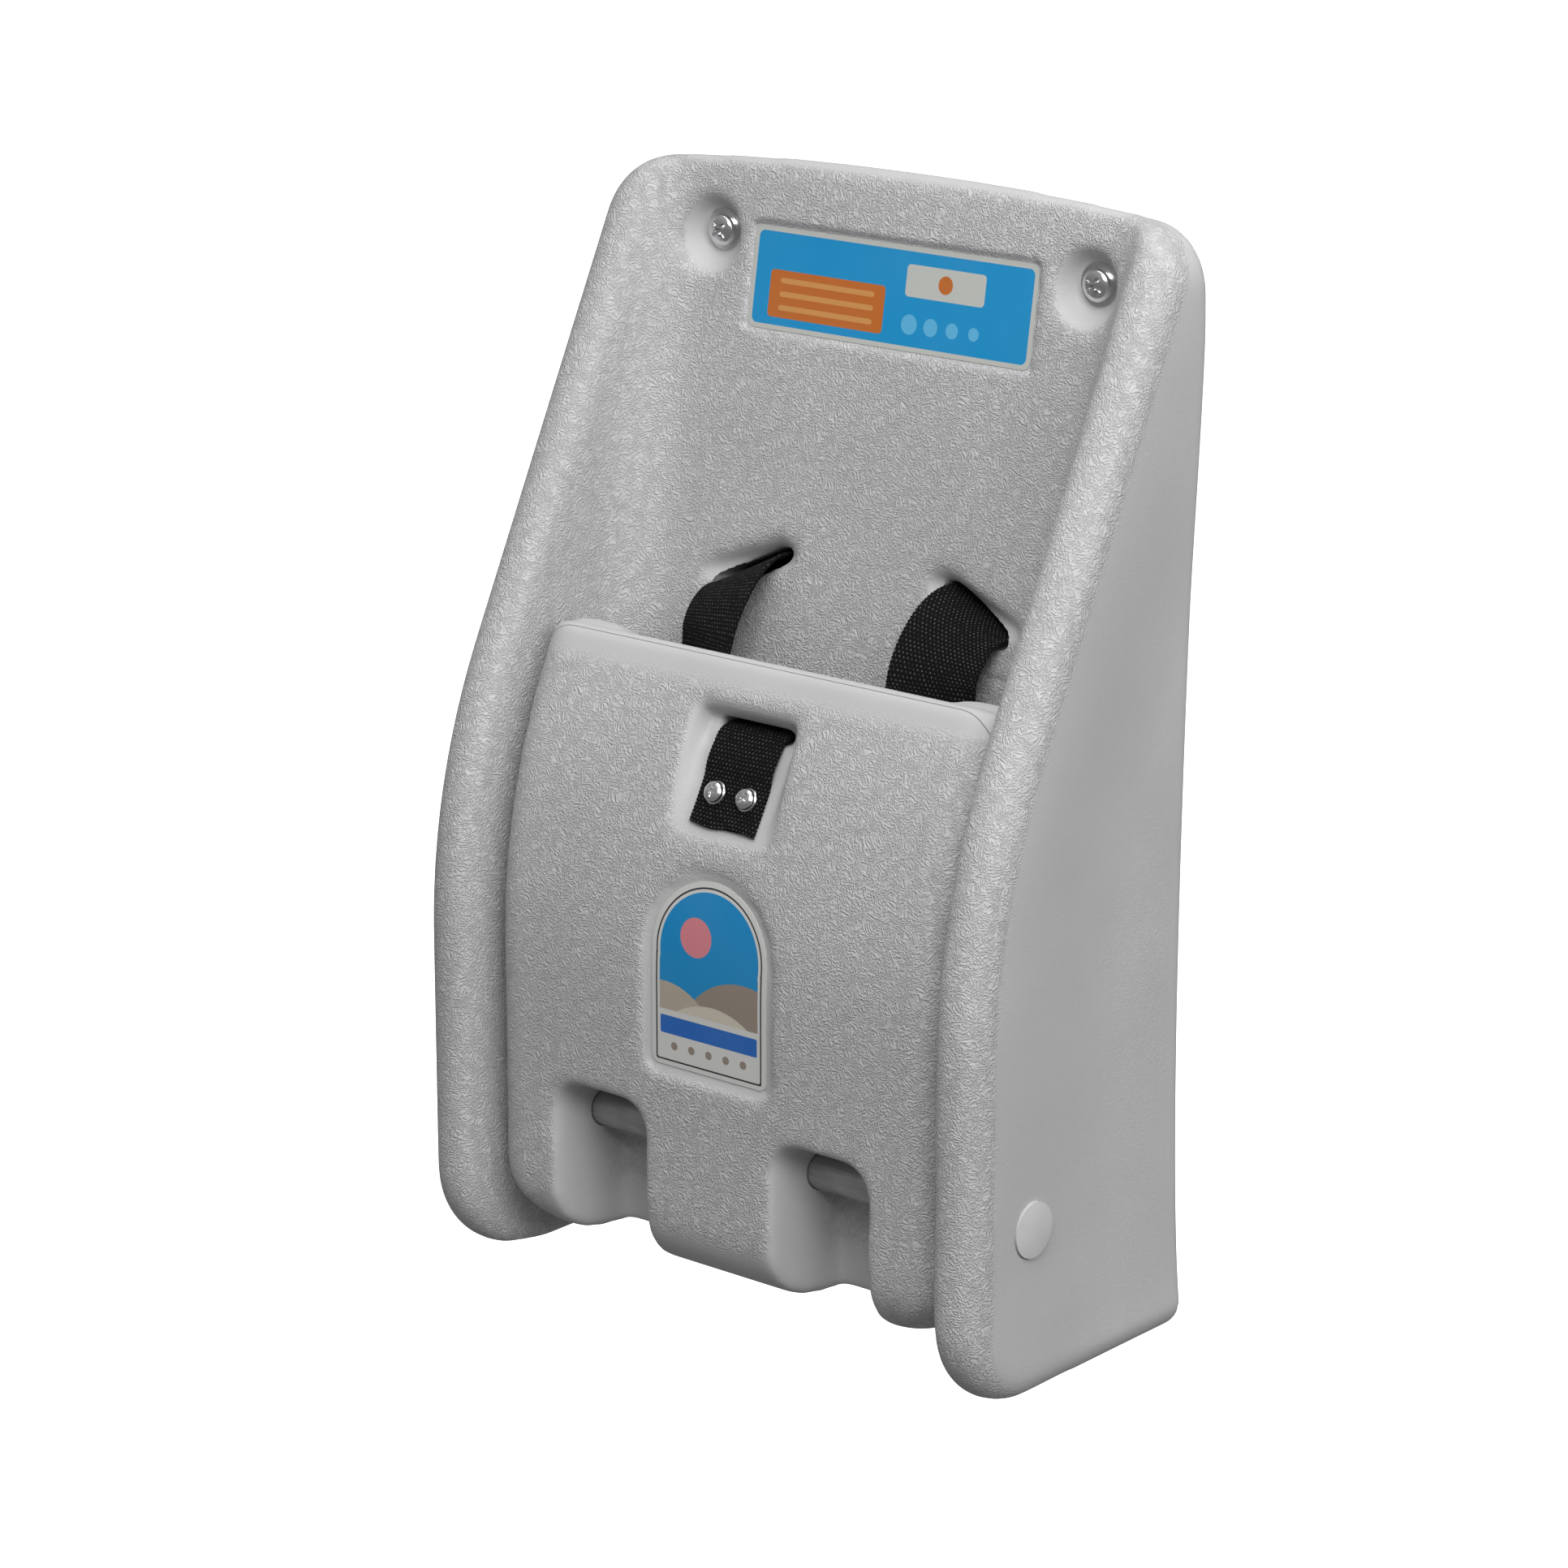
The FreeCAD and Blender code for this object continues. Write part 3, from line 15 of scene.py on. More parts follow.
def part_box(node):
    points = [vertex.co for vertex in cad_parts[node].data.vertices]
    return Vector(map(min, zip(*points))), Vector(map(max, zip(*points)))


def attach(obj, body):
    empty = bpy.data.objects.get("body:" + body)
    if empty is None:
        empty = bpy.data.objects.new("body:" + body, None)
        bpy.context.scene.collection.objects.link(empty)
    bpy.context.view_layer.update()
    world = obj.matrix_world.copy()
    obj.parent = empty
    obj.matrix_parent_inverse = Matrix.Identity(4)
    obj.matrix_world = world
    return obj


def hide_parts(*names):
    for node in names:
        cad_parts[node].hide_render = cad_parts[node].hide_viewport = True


bl_info = {
    "name": "Folding wall seat",
    "version": (1, 0, 0),
    "blender": (4, 5, 0),
    "location": "View3D > Sidebar > Wall Seat",
    "description": "Builds the finished surfaces of a folding wall seat around its packed parts",
    "category": "Object",
}

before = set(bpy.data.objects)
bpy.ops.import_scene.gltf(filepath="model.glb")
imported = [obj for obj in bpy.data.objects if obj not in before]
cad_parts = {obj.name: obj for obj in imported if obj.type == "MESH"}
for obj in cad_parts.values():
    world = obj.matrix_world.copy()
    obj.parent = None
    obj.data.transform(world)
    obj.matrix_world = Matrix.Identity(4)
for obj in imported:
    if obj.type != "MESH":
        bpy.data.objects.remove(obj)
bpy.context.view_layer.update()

SIDES = {"left": -1, "right": 1}
MERGE_DIST = 1e-6
SOFT_EDGE_ANGLE = math.radians(38)


def mm(value):
    """Millimetres as metres."""
    return value * 0.001


# Places that several pieces share, in metres
HOUSING_LOW, HOUSING_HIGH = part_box("housing")
SEAT_LOW, SEAT_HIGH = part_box("seat_panel")
ROD_LOW, ROD_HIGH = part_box("hinge_rod")
CAP_LOW, CAP_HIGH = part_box("rod_end_cap_right")
LABEL_LOW, LABEL_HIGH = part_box("instruction_label")
BADGE_LOW, BADGE_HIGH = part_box("seat_badge")
BAR_LOW, BAR_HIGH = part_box("right_strap_bar")
YOKE_LOW, YOKE_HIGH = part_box("harness_yoke")
KEEPER_LOW, KEEPER_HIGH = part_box("right_strap_keeper")
HALF_W = HOUSING_HIGH.x
FLOOR_Z = HOUSING_LOW.z
FRONT_Y = HOUSING_LOW.y

# Housing and seat profile
FRONT_TILT = math.radians(26.5)
BEND_R = mm(300)
BEND_CENTRE_Y = FRONT_Y + BEND_R
BEND_Z = FLOOR_Z + mm(157.1)
FOOT_R = mm(45)
SEAT_INSET = mm(13)
PANEL_SLOPE = 0.1619
PANEL_TOP_Y = mm(-10.4)
LABEL_MARGIN = mm(1)
BADGE_RECESS = mm(2.6)

# Hinge
HINGE = (ROD_LOW + ROD_HIGH) / 2
ROD_R = (ROD_HIGH.z - ROD_LOW.z) / 2
CAP_R = (CAP_HIGH.z - CAP_LOW.z) / 2
CAP_SEAT_X = HALF_W - mm(2)
ROD_GAP = mm(0.45)
CAP_GAP = mm(0.6)
BUSH_R = mm(12)
BUSH_END_X = mm(95)
CAP_PLUG_X = mm(140)
ROD_BORE_X = mm(132)
NOTCH_X = mm(64.2)
NOTCH_HALF = mm(22)

# Strap slots, bars and screws
SLOT = (BAR_LOW + BAR_HIGH) / 2
SLOT_SLANT = math.radians(25.9)
SLOT_LENGTH = mm(46)
SLOT_WIDTH = mm(7)
FLARE_REACH = mm(12)
FLARE_DEPTH = mm(13)
CROTCH_SLOT_Z = FLOOR_Z + mm(271)
UPPER_SCREW_X = mm(106)
LOWER_SCREW_X = mm(75)
LOWER_SCREW_Z = mm(-302)
WALL_HEAD_Y = mm(-6.6)
WALL_WASHER_Y = mm(-5)
WALL_WASHER_D = mm(20)
CROTCH_SCREW_X = mm(9)
CROTCH_SCREW_SEAT = Vector((0, mm(-123.97), FLOOR_Z + mm(244.4)))
CROTCH_OUT = Vector((0, -0.8716, 0.4903))
CROTCH_WASHER_D = mm(10.8)
CROTCH_WASHER_THICK = mm(0.8)

# Passes that round the mouldings' edges
SOFT_PASSES = 14
# Half the width of the edges between the prints' colours, in millimetres as the prints count them
PRINT_EDGE = 0.12


def a_length(name, description, value):
    return FloatProperty(name=name, description=description, unit="LENGTH", default=value)


def an_angle(name, description, value):
    return FloatProperty(name=name, description=description, subtype="ANGLE", default=value)


def a_colour(name, description, value):
    return FloatVectorProperty(name=name, description=description, subtype="COLOR", default=value)


class WallSeatMoulding(bpy.types.PropertyGroup):
    """The two blow-moulded pieces."""

    grey: a_colour("Grey", "Colour of the moulded plastic", (0.545, 0.544, 0.546))
    housing_step: a_length("Housing mesh step", "Size of the housing's mesh cells", mm(1.9))
    seat_step: a_length("Seat mesh step", "Size of the seat's mesh cells", mm(1.5))
    triangles: IntProperty(
        name="Triangles", description="Most triangles that one moulding may have", default=190000,
    )
    wall_bow: a_length("Wall bow", "How far the side walls draw in at their narrowest", mm(7.5))
    nose_depth: a_length("Nose depth", "Width of the grained band round the rails' sides", mm(15))
    grain_pitch: a_length("Grain pitch", "Spacing of the wrinkles", mm(1.15))
    grain_height: a_length("Grain height", "Height of the wrinkles", mm(0.42))


class WallSeatHarness(bpy.types.PropertyGroup):
    """Webbing and buckle."""

    black: a_colour("Black", "Colour of webbing and buckle", (0.004, 0.004, 0.0045))
    strap_width: a_length("Shoulder strap width", "Width of the shoulder webbing", mm(42))
    crotch_width: a_length("Crotch strap width", "Width of the crotch webbing", mm(38))
    thickness: a_length("Webbing thickness", "Thickness of the webbing", mm(1.6))
    weave_across: a_length("Weave across", "Spacing of the yarns across the webbing", mm(2.0))
    weave_along: a_length("Weave along", "Spacing of the rows along the webbing", mm(1.75))


class WallSeatFixings(bpy.types.PropertyGroup):
    """Screws, washers and the rounding of the buckle's edges."""

    wall_screw_d: a_length("Wall screw", "Diameter of the wall screws", mm(6))
    wall_screw_length: a_length("Wall screw length", "Length under the head", mm(45))
    wall_head_d: a_length("Wall screw head", "Diameter of the head", mm(15))
    strap_screw_d: a_length("Strap screw", "Diameter of the strap screws", mm(4))
    strap_screw_length: a_length("Strap screw length", "Length under the head", mm(16))
    strap_head_d: a_length("Strap screw head", "Diameter of the head", mm(9.8))
    buckle_edge: a_length("Buckle edge", "Rounding of the buckle's edges", mm(0.7))


class WallSeatStage(bpy.types.PropertyGroup):
    """Camera, light and floor."""

    azimuth: an_angle("Azimuth", "Turn of the camera to the right", math.radians(40.2))
    elevation: an_angle("Elevation", "Height of the camera above level", math.radians(16.2))
    distance: a_length("Distance", "From the camera to its target", 2.366)
    lens: FloatProperty(
        name="Lens", description="Focal length in millimetres on a 36 mm sensor", default=117.25,
    )
    target: FloatVectorProperty(
        name="Target", description="Point in the middle of the picture", subtype="TRANSLATION",
        default=(mm(-70.3), mm(-7.0), mm(-255.5)),
    )
    floor_drop: a_length("Floor drop", "Height of the seat above the floor", 0.45)
    floor_pale: a_colour("Floor", "Colour of the floor", (0.9, 0.9, 0.9))


def math_method(operation, swap=False):
    def method(self, *others):
        terms = [self, *others]
        if swap:
            terms.reverse()
        return self.shade.node("ShaderNodeMath", {"operation": operation}, dict(enumerate(terms)))

    return method


class Value:
    """A shader socket; arithmetic on it adds Math nodes."""

    def __init__(self, shade, socket):
        self.shade = shade
        self.socket = socket

    __add__ = __radd__ = math_method("ADD")
    __sub__ = math_method("SUBTRACT")
    __rsub__ = math_method("SUBTRACT", swap=True)
    __mul__ = __rmul__ = math_method("MULTIPLY")
    __truediv__ = math_method("DIVIDE")
    __abs__ = math_method("ABSOLUTE")
    floor = math_method("FLOOR")
    fract = math_method("FRACT")
    least = math_method("MINIMUM")
    most = math_method("MAXIMUM")
    root = math_method("SQRT")

    def rise(self, low, high):
        """0 below the lower value, 1 above the higher one, smooth between; falls if low > high."""
        first, last = (0.0, 1.0) if low < high else (1.0, 0.0)
        sockets = {
            "Value": self, "From Min": min(low, high), "From Max": max(low, high),
            "To Min": first, "To Max": last,
        }
        settings = {"interpolation_type": "SMOOTHSTEP"}
        return self.shade.node("ShaderNodeMapRange", settings, sockets)


class Shade:
    """A material under construction."""

    def __init__(self, name, **constants):
        self.material = bpy.data.materials.new(name)
        self.material.use_nodes = True
        self.tree = self.material.node_tree
        self.principled = self.tree.nodes["Principled BSDF"]
        for key, value in constants.items():
            self.set(key.replace("_", " "), value)

    def set(self, socket_name, value):
        """Set or link a socket of the surface shader."""
        wanted = socket_name.lower()
        socket = next(s for s in self.principled.inputs if s.name.lower() == wanted)
        self.plug(socket, value)

    def plug(self, socket, value):
        if isinstance(value, Value):
            self.tree.links.new(value.socket, socket)
        elif socket.type == "RGBA" and len(value) == 3:
            socket.default_value = (*value, 1.0)
        else:
            socket.default_value = value

    def node(self, kind, settings=None, sockets=None, out=0):
        """Add a node, give it its settings and then its sockets, and return one output."""
        node = self.tree.nodes.new(kind)
        for key, value in (settings or {}).items():
            setattr(node, key, value)
        for key, value in (sockets or {}).items():
            self.plug(node.inputs[key], value)
        return Value(self, node.outputs[out])

    def object_point(self, scale):
        """Object coordinates divided by a length, as a vector."""
        coords = self.node("ShaderNodeTexCoord", out="Object")
        return self.vector("SCALE", coords, Scale=1.0 / scale)

    def vector(self, operation, first, second=None, **named):
        sockets = {0: first, **named}
        if second is not None:
            sockets[1] = second
        return self.node("ShaderNodeVectorMath", {"operation": operation}, sockets)

    def split(self, vector):
        node = self.tree.nodes.new("ShaderNodeSeparateXYZ")
        self.plug(node.inputs[0], vector)
        return [Value(self, socket) for socket in node.outputs]

    def join(self, x, y, z):
        return self.node("ShaderNodeCombineXYZ", None, {0: x, 1: y, 2: z})

    def noise(self, vector, scale=1.0, detail=2.0, out="Fac", **named):
        sockets = {"Vector": vector, "Scale": scale, "Detail": detail, **named}
        return self.node("ShaderNodeTexNoise", {"noise_type": "FBM"}, sockets, out=out)

    def attribute(self, name):
        return self.node("ShaderNodeAttribute", {"attribute_name": name}, out="Fac")

    def mix(self, share, first, second):
        """Mix two colours."""
        settings = {"data_type": "RGBA"}
        return self.node("ShaderNodeMix", settings, {"Factor": share, 6: first, 7: second}, out=2)

    def bump(self, height, distance, below=None):
        sockets = {"Height": height, "Distance": distance, "Strength": 1.0}
        if below is not None:
            sockets["Normal"] = below
        return self.node("ShaderNodeBump", None, sockets)

    def skin(self, size, detail, height):
        """A fine noise, which also makes the surface uneven."""
        fine = self.noise(self.object_point(size), detail=detail)
        self.set("Normal", self.bump(fine, height))
        return fine

    def disc(self, x, z, radius):
        """1 inside a circle about the origin, 0 outside."""
        return (x * x + z * z).root().rise(radius + PRINT_EDGE, radius - PRINT_EDGE)

    def block(self, x, z, half_x, half_z, corner):
        """1 inside a rounded rectangle about the origin, 0 outside."""
        over_x = abs(x) - (half_x - corner)
        over_z = abs(z) - (half_z - corner)
        out_x = over_x.most(0.0)
        out_z = over_z.most(0.0)
        gap = (out_x * out_x + out_z * out_z).root() + over_x.most(over_z).least(0.0)
        return gap.rise(corner + PRINT_EDGE, corner - PRINT_EDGE)


def scaled(colour, share):
    return tuple(min(1.0, part * share) for part in colour)


def wrinkles(shade, pitch):
    """Leather-like wrinkles: fine noise that slower noise pulls about, so that ridges turn."""
    point = shade.object_point(pitch)
    pull = shade.noise(point, scale=0.19, detail=0.0, out="Color")
    pull = shade.vector("SUBTRACT", pull, (0.5, 0.5, 0.5))
    warped = shade.vector("ADD", point, shade.vector("SCALE", pull, Scale=5.5))
    return shade.noise(warped, scale=1.25, detail=1.0, Roughness=0.4)


def moulded_plastic(settings):
    """Light grey plastic whose wrinkled grain fades on the flanks and in the recesses; the grain's
    valleys are darkened in the colour as painted shade.
    """
    shade = Shade("moulded_grey_plastic", roughness=0.5, specular_IOR_level=0.35)
    ridge = wrinkles(shade, settings.grain_pitch)
    depth = shade.attribute("grain")
    height = ridge.rise(0.3, 0.7) * depth
    cloud = shade.noise(shade.object_point(0.09), detail=2.0)
    # hollow is the colour of the painted shade in the grain's valleys
    pale, deep, hollow = [scaled(settings.grey, share) for share in (1.04, 0.95, 0.68)]
    tone = shade.mix(cloud.rise(0.3, 0.7), deep, pale)
    # Painted shade: the colour darkens in the grain's valleys, and sits at a middle share where
    # the grain fades
    painted_valley_shade = depth - height + (1 - depth) * 0.5
    tone = shade.mix(painted_valley_shade * 0.55, tone, hollow)
    seam = shade.attribute("seam")
    flank = shade.attribute("flank")
    line = abs(seam).rise(0.35, 0.12)
    shade.set("Base Color", shade.mix(line * (1 - flank) * 0.6, tone, (0.08, 0.08, 0.08)))
    shade.set("Roughness", 0.56 - height * 0.1)
    fine = shade.noise(shade.object_point(mm(0.7)), detail=2.0)
    skin = shade.bump(fine, mm(0.02))
    grain = shade.bump(height, settings.grain_height, below=skin)
    groove = 1 - line * (1 - flank * 0.8)
    shade.set("Normal", shade.bump(groove, mm(0.2), below=grain))
    return shade.material


def smooth_grey_plastic(settings):
    """The caps: the same grey with a fine satin surface."""
    shade = Shade("smooth_grey_plastic", specular_IOR_level=0.4)
    fine = shade.skin(mm(0.6), 2.0, mm(0.02))
    cloud = shade.noise(shade.object_point(mm(9)), detail=1.0)
    shade.set("Base Color", shade.mix(cloud, settings.grey, scaled(settings.grey, 1.12)))
    shade.set("Roughness", 0.42 + fine * 0.1)
    return shade.material


def bright_steel():
    """Screws and washers: polished steel with faint turning marks."""
    shade = Shade("bright_steel", base_color=(0.72, 0.72, 0.73), metallic=1.0)
    marks = shade.skin(mm(0.5), 3.0, mm(0.012))
    shade.set("Roughness", 0.1 + marks * 0.16)
    return shade.material


def dull_steel():
    """Hinge rod and strap bars: zinc-plated tube with drawn streaks along its length."""
    shade = Shade("dull_steel", metallic=0.8)
    point = shade.object_point(mm(1))
    drawn = shade.vector("MULTIPLY", point, (0.03, 0.9, 0.9))
    streak = shade.noise(drawn, detail=3.0)
    blotch = shade.noise(shade.object_point(mm(12)), detail=2.0)
    tone = (streak * 0.6 + blotch * 0.4).rise(0.3, 0.7)
    shade.set("Base Color", shade.mix(tone, (0.36, 0.36, 0.365), (0.5, 0.5, 0.505)))
    shade.set("Roughness", 0.52 - streak * 0.14)
    shade.set("Normal", shade.bump(streak, mm(0.02)))
    return shade.material


def pale_nylon():
    """Hinge bushes: natural nylon, slightly waxy."""
    shade = Shade("pale_nylon", specular_IOR_level=0.4)
    fine = shade.skin(mm(1.5), 3.0, mm(0.03))
    shade.set("Base Color", shade.mix(fine, (0.76, 0.75, 0.71), (0.84, 0.83, 0.79)))
    shade.set("Roughness", 0.4 + fine * 0.15)
    return shade.material


def black_plastic(settings):
    """Buckle pieces: black moulded plastic with a fine spark grain."""
    shade = Shade("black_plastic", specular_IOR_level=0.45)
    grit = shade.skin(mm(0.45), 2.0, mm(0.05))
    cloud = shade.noise(shade.object_point(mm(14)), detail=2.0)
    lift = tuple(c + 0.02 for c in settings.black)
    shade.set("Base Color", shade.mix(cloud, settings.black, lift))
    shade.set("Roughness", 0.38 + grit * 0.2)
    return shade.material


def woven_webbing(settings):
    """Black webbing: rows of rounded yarns, offset row by row, with a highlight painted into the
    colour on each yarn.
    """
    shade = Shade("woven_webbing", specular_IOR_level=0.12)
    across = shade.attribute("across")
    along = shade.attribute("along")
    wander = shade.noise(shade.object_point(mm(7)), detail=2.0)
    row = along / settings.weave_along + wander * 0.3
    odd = (row.floor() * 0.5).fract()
    column = across / settings.weave_across + odd + wander * 0.15
    u = column.fract() * 2.0 - 1.0
    v = row.fract() * 2.0 - 1.0
    yarn = (1 - u * u) * (1 - v * v)
    fibre = shade.noise(shade.join(across / mm(0.25), along / mm(1.2), 0.0), detail=2.0)
    spread = shade.noise(shade.object_point(mm(2.4)), detail=1.0).rise(0.35, 0.65)
    lean = u - v * 0.35
    # Painted highlight: a lighter spot on each yarn, put in the base colour in the colour bright
    painted_glint = (1 - lean * lean * 5.0 - v * v * 2.6).rise(0.2, 0.95) * (0.2 + spread * 0.8)
    bright = (0.15, 0.15, 0.155)
    shade.set("Base Color", shade.mix(painted_glint * (0.4 + fibre * 0.6), settings.black, bright))
    shade.set("Roughness", 0.85 - painted_glint * 0.2)
    shade.set("Normal", shade.bump(yarn.root() + fibre * 0.12, mm(0.3)))
    return shade.material


def printed(shade, colour, layers):
    """Finish a print: layers of (mask, colour) over its ground and a faint film over all."""
    for mask, paint in layers:
        colour = shade.mix(mask, colour, paint)
    film = shade.noise(shade.object_point(mm(30)), detail=1.0)
    shade.set("Base Color", shade.mix(film * 0.06, colour, (0.4, 0.45, 0.5)))
    shade.skin(mm(2), 2.0, mm(0.01))
    return shade.material


def label_print(centre, half_x, half_z):
    """The upper label: plain blocks of colour on a blue field with a pale border."""
    shade = Shade("label_print", roughness=0.34, specular_IOR_level=0.5)
    x, _, z = shade.split(shade.object_point(mm(1)))
    x = x - centre.x / mm(1)
    z = z - centre.z / mm(1)
    blue, pale = (0.0, 0.26, 0.56), (0.5, 0.51, 0.48)
    orange, amber, sky = (0.5, 0.13, 0.01), (0.6, 0.27, 0.07), (0.1, 0.42, 0.68)
    wide, tall = half_x / mm(1), half_z / mm(1)
    layers = [
        (shade.block(x, z, wide - 2.2, tall - 2.2, 3.0), blue),
        (shade.block(x + 36.0, z + 6.5, 33.0, 10.5, 2.0), orange),
    ]
    for k in range(3):
        layers.append((shade.block(x + 36.0, z + 0.5 + 6.0 * k, 27.0, 1.2, 1.2), amber))
    layers.append((shade.block(x - 30.0, z - 8.0, 22.0, 7.0, 2.0), pale))
    for k in range(4):
        layers.append((shade.disc(x - 12.0 - 12.0 * k, z + 11.0, 4.4 - 0.5 * k), sky))
    layers.append((shade.disc(x - 30.0, z - 8.0, 4.0), orange))
    return printed(shade, pale, layers)


def badge_print(low, high):
    """The seat's badge: hills under a pink sun on a blue field, with a banded white foot."""
    shade = Shade("badge_print", roughness=0.34, specular_IOR_level=0.5)
    x, _, z = shade.split(shade.object_point(mm(1)))
    foot = low.z / mm(1)
    half = high.x / mm(1)
    rise_z = high.z / mm(1) - half - foot
    z = z - foot
    white, ink = (0.6, 0.6, 0.58), (0.01, 0.01, 0.012)
    blue, navy = (0.0, 0.23, 0.52), (0.01, 0.12, 0.45)
    taupe, beige, cream = (0.27, 0.22, 0.18), (0.42, 0.36, 0.29), (0.56, 0.51, 0.42)
    pink = (0.62, 0.2, 0.23)
    skyline = 26.0

    def arch(inset):
        """The badge's own outline, drawn in by an inset."""
        dome = shade.disc(x, z - rise_z, half - inset)
        box = shade.block(x, z - rise_z / 2, half - inset, rise_z / 2 - inset + 0.3, 1.0)
        return dome.most(box)

    view = blue
    sun_and_hills = (
        (-8.0, 62.0, 9.0, pink), (20.0, 8.0, 38.0, taupe), (-26.0, 6.0, 33.0, beige),
        (2.0, -6.0, 38.0, cream),
    )
    for middle_x, middle_z, radius, paint in sun_and_hills:
        view = shade.mix(shade.disc(x - middle_x, z - middle_z, radius), view, paint)
    sky = arch(4.6) * z.rise(skyline - PRINT_EDGE, skyline + PRINT_EDGE)
    band = shade.block(x, z - 19.0, half - 5.0, 4.2, 0.8)
    layers = [(arch(2.4), ink), (arch(3.2), white), (sky, view), (band, navy)]
    layers += [(shade.disc(x - 10.0 * (k - 2), z - 9.5, 1.9), taupe) for k in range(5)]
    return printed(shade, white, layers)


def new_object(name, data):
    obj = bpy.data.objects.new(name, data)
    bpy.context.scene.collection.objects.link(obj)
    return obj


def object_from(work, name):
    """An object from a bmesh, which is freed."""
    mesh = bpy.data.meshes.new(name)
    work.to_mesh(mesh)
    work.free()
    return new_object(name, mesh)


def settle(obj):
    """Replace the object's mesh by its finished one and drop its modifiers."""
    graph = bpy.context.evaluated_depsgraph_get()
    mesh = bpy.data.meshes.new_from_object(obj.evaluated_get(graph))
    obj.modifiers.clear()
    obj.data = mesh
    return obj


def vertex_array(mesh):
    points = np.empty(len(mesh.vertices) * 3)
    mesh.vertices.foreach_get("co", points)
    return points.reshape(-1, 3)


def put_vertices(mesh, points):
    mesh.vertices.foreach_set("co", points.ravel())
    mesh.update()


def put_attribute(mesh, name, values):
    layer = mesh.attributes.new(name, "FLOAT", "POINT")
    layer.data.foreach_set("value", np.asarray(values, dtype=np.float32))


def ramp(values, low, high):
    """0 at the first value, 1 at the second, smooth between."""
    t = np.clip((values - low) / (high - low), 0.0, 1.0)
    return t * t * (3 - 2 * t)


def unit(vectors):
    return vectors / np.linalg.norm(vectors, axis=1, keepdims=True)


def near_box(points, low, high, soft):
    """1 inside a box, falling to 0 over a soft distance around it."""
    over = np.maximum(np.array(low) - points, points - np.array(high))
    return 1 - ramp(over.max(axis=1), 0.0, soft)


def press_bed(mesh, points, under, floor):
    """Press the points under a print back to its bed."""
    points[under, 1] = np.maximum(points[under, 1], floor[under])
    put_vertices(mesh, points)


def smooth_shading(mesh):
    mesh.polygons.foreach_set("use_smooth", np.ones(len(mesh.polygons), dtype=bool))
    mesh.set_sharp_from_angle(angle=SOFT_EDGE_ANGLE)


def dress(obj, material, body, slot, *nodes):
    """Give a piece its material and body, and let it stand for its nodes; the slot argument is not
    used.
    """
    obj.data.materials.clear()
    obj.data.materials.append(material)
    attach(obj, body)
    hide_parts(*nodes)


def paint_nodes(material, *nodes):
    """Give carried-over nodes their procedural material."""
    for node in nodes:
        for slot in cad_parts[node].material_slots:
            slot.material = material


def front_y(z, inset):
    """Y of the rails' front profile, drawn in by an inset, at heights above the foot."""
    radius = BEND_R - inset
    end_z = BEND_Z + radius * math.sin(FRONT_TILT)
    end_y = BEND_CENTRE_Y - radius * math.cos(FRONT_TILT)
    rise = np.clip(z - BEND_Z, 0.0, radius * math.sin(FRONT_TILT))
    y = BEND_CENTRE_Y - np.sqrt(radius * radius - rise * rise)
    return np.where(z > end_z, end_y + (z - end_z) * math.tan(FRONT_TILT), y)


SEAT_TOP_FRONT_Y = float(front_y(np.array(SEAT_HIGH.z), SEAT_INSET))


def profile_inset(points, foot_inset=0.0):
    """How far each point lies inside the side profile; the foot inset eases in round the foot."""
    y, z = points[:, 1], points[:, 2]
    turn = np.clip(np.arctan2(z - BEND_Z, BEND_CENTRE_Y - y), 0.0, FRONT_TILT)
    along = (BEND_CENTRE_Y - y) * np.cos(turn) + (z - BEND_Z) * np.sin(turn)
    inset = BEND_R - along
    ahead, below = FRONT_Y + FOOT_R - y, FLOOR_Z + FOOT_R - z
    share = np.clip(np.arctan2(below, ahead) / (math.pi / 2), 0.0, 1.0)
    foot = FOOT_R - np.hypot(ahead, below) + foot_inset * share
    inset = np.where((below > 0) & (ahead > 0), foot, inset)
    return np.where((below > 0) & (ahead <= 0), z - FLOOR_Z + foot_inset, inset)


def panel_y(z):
    """Y of the tilted back panel."""
    return PANEL_TOP_Y - (HOUSING_HIGH.z - z) * PANEL_SLOPE


def outer_skin(node):
    """A copy of a node's mesh: doubles merged, sealed hollows left out."""
    work = bmesh.new()
    work.from_mesh(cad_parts[node].data)
    bmesh.ops.remove_doubles(work, verts=work.verts, dist=MERGE_DIST)
    left = set(work.verts)
    shells = []
    while left:
        shell = {left.pop()}
        edge = list(shell)
        while edge:
            near = {e.other_vert(v) for v in edge for e in v.link_edges} - shell
            shell |= near
            edge = list(near)
        left -= shell
        shells.append(shell)
    outer = max(shells, key=lambda s: max(v.co.z for v in s) - min(v.co.z for v in s))
    inner = [v for v in work.verts if v not in outer]
    bmesh.ops.delete(work, geom=inner, context="VERTS")
    return work


def add_plug(work, radius, x0, x1):
    """A solid cylinder on the hinge axis, which fills a bore or serves to cut one."""
    place = Matrix.Translation(((x0 + x1) / 2, HINGE.y, HINGE.z))
    bmesh.ops.create_cone(
        work, cap_ends=True, segments=72, radius1=radius, radius2=radius, depth=abs(x1 - x0),
        matrix=place @ Matrix.Rotation(math.pi / 2, 4, "Y"),
    )


def even_copy(name, work, step):
    """An evenly meshed object from a closed surface."""
    obj = object_from(work, name)
    remesh = obj.modifiers.new("Even mesh", "REMESH")
    remesh.mode = "VOXEL"
    remesh.voxel_size = step
    return settle(obj)


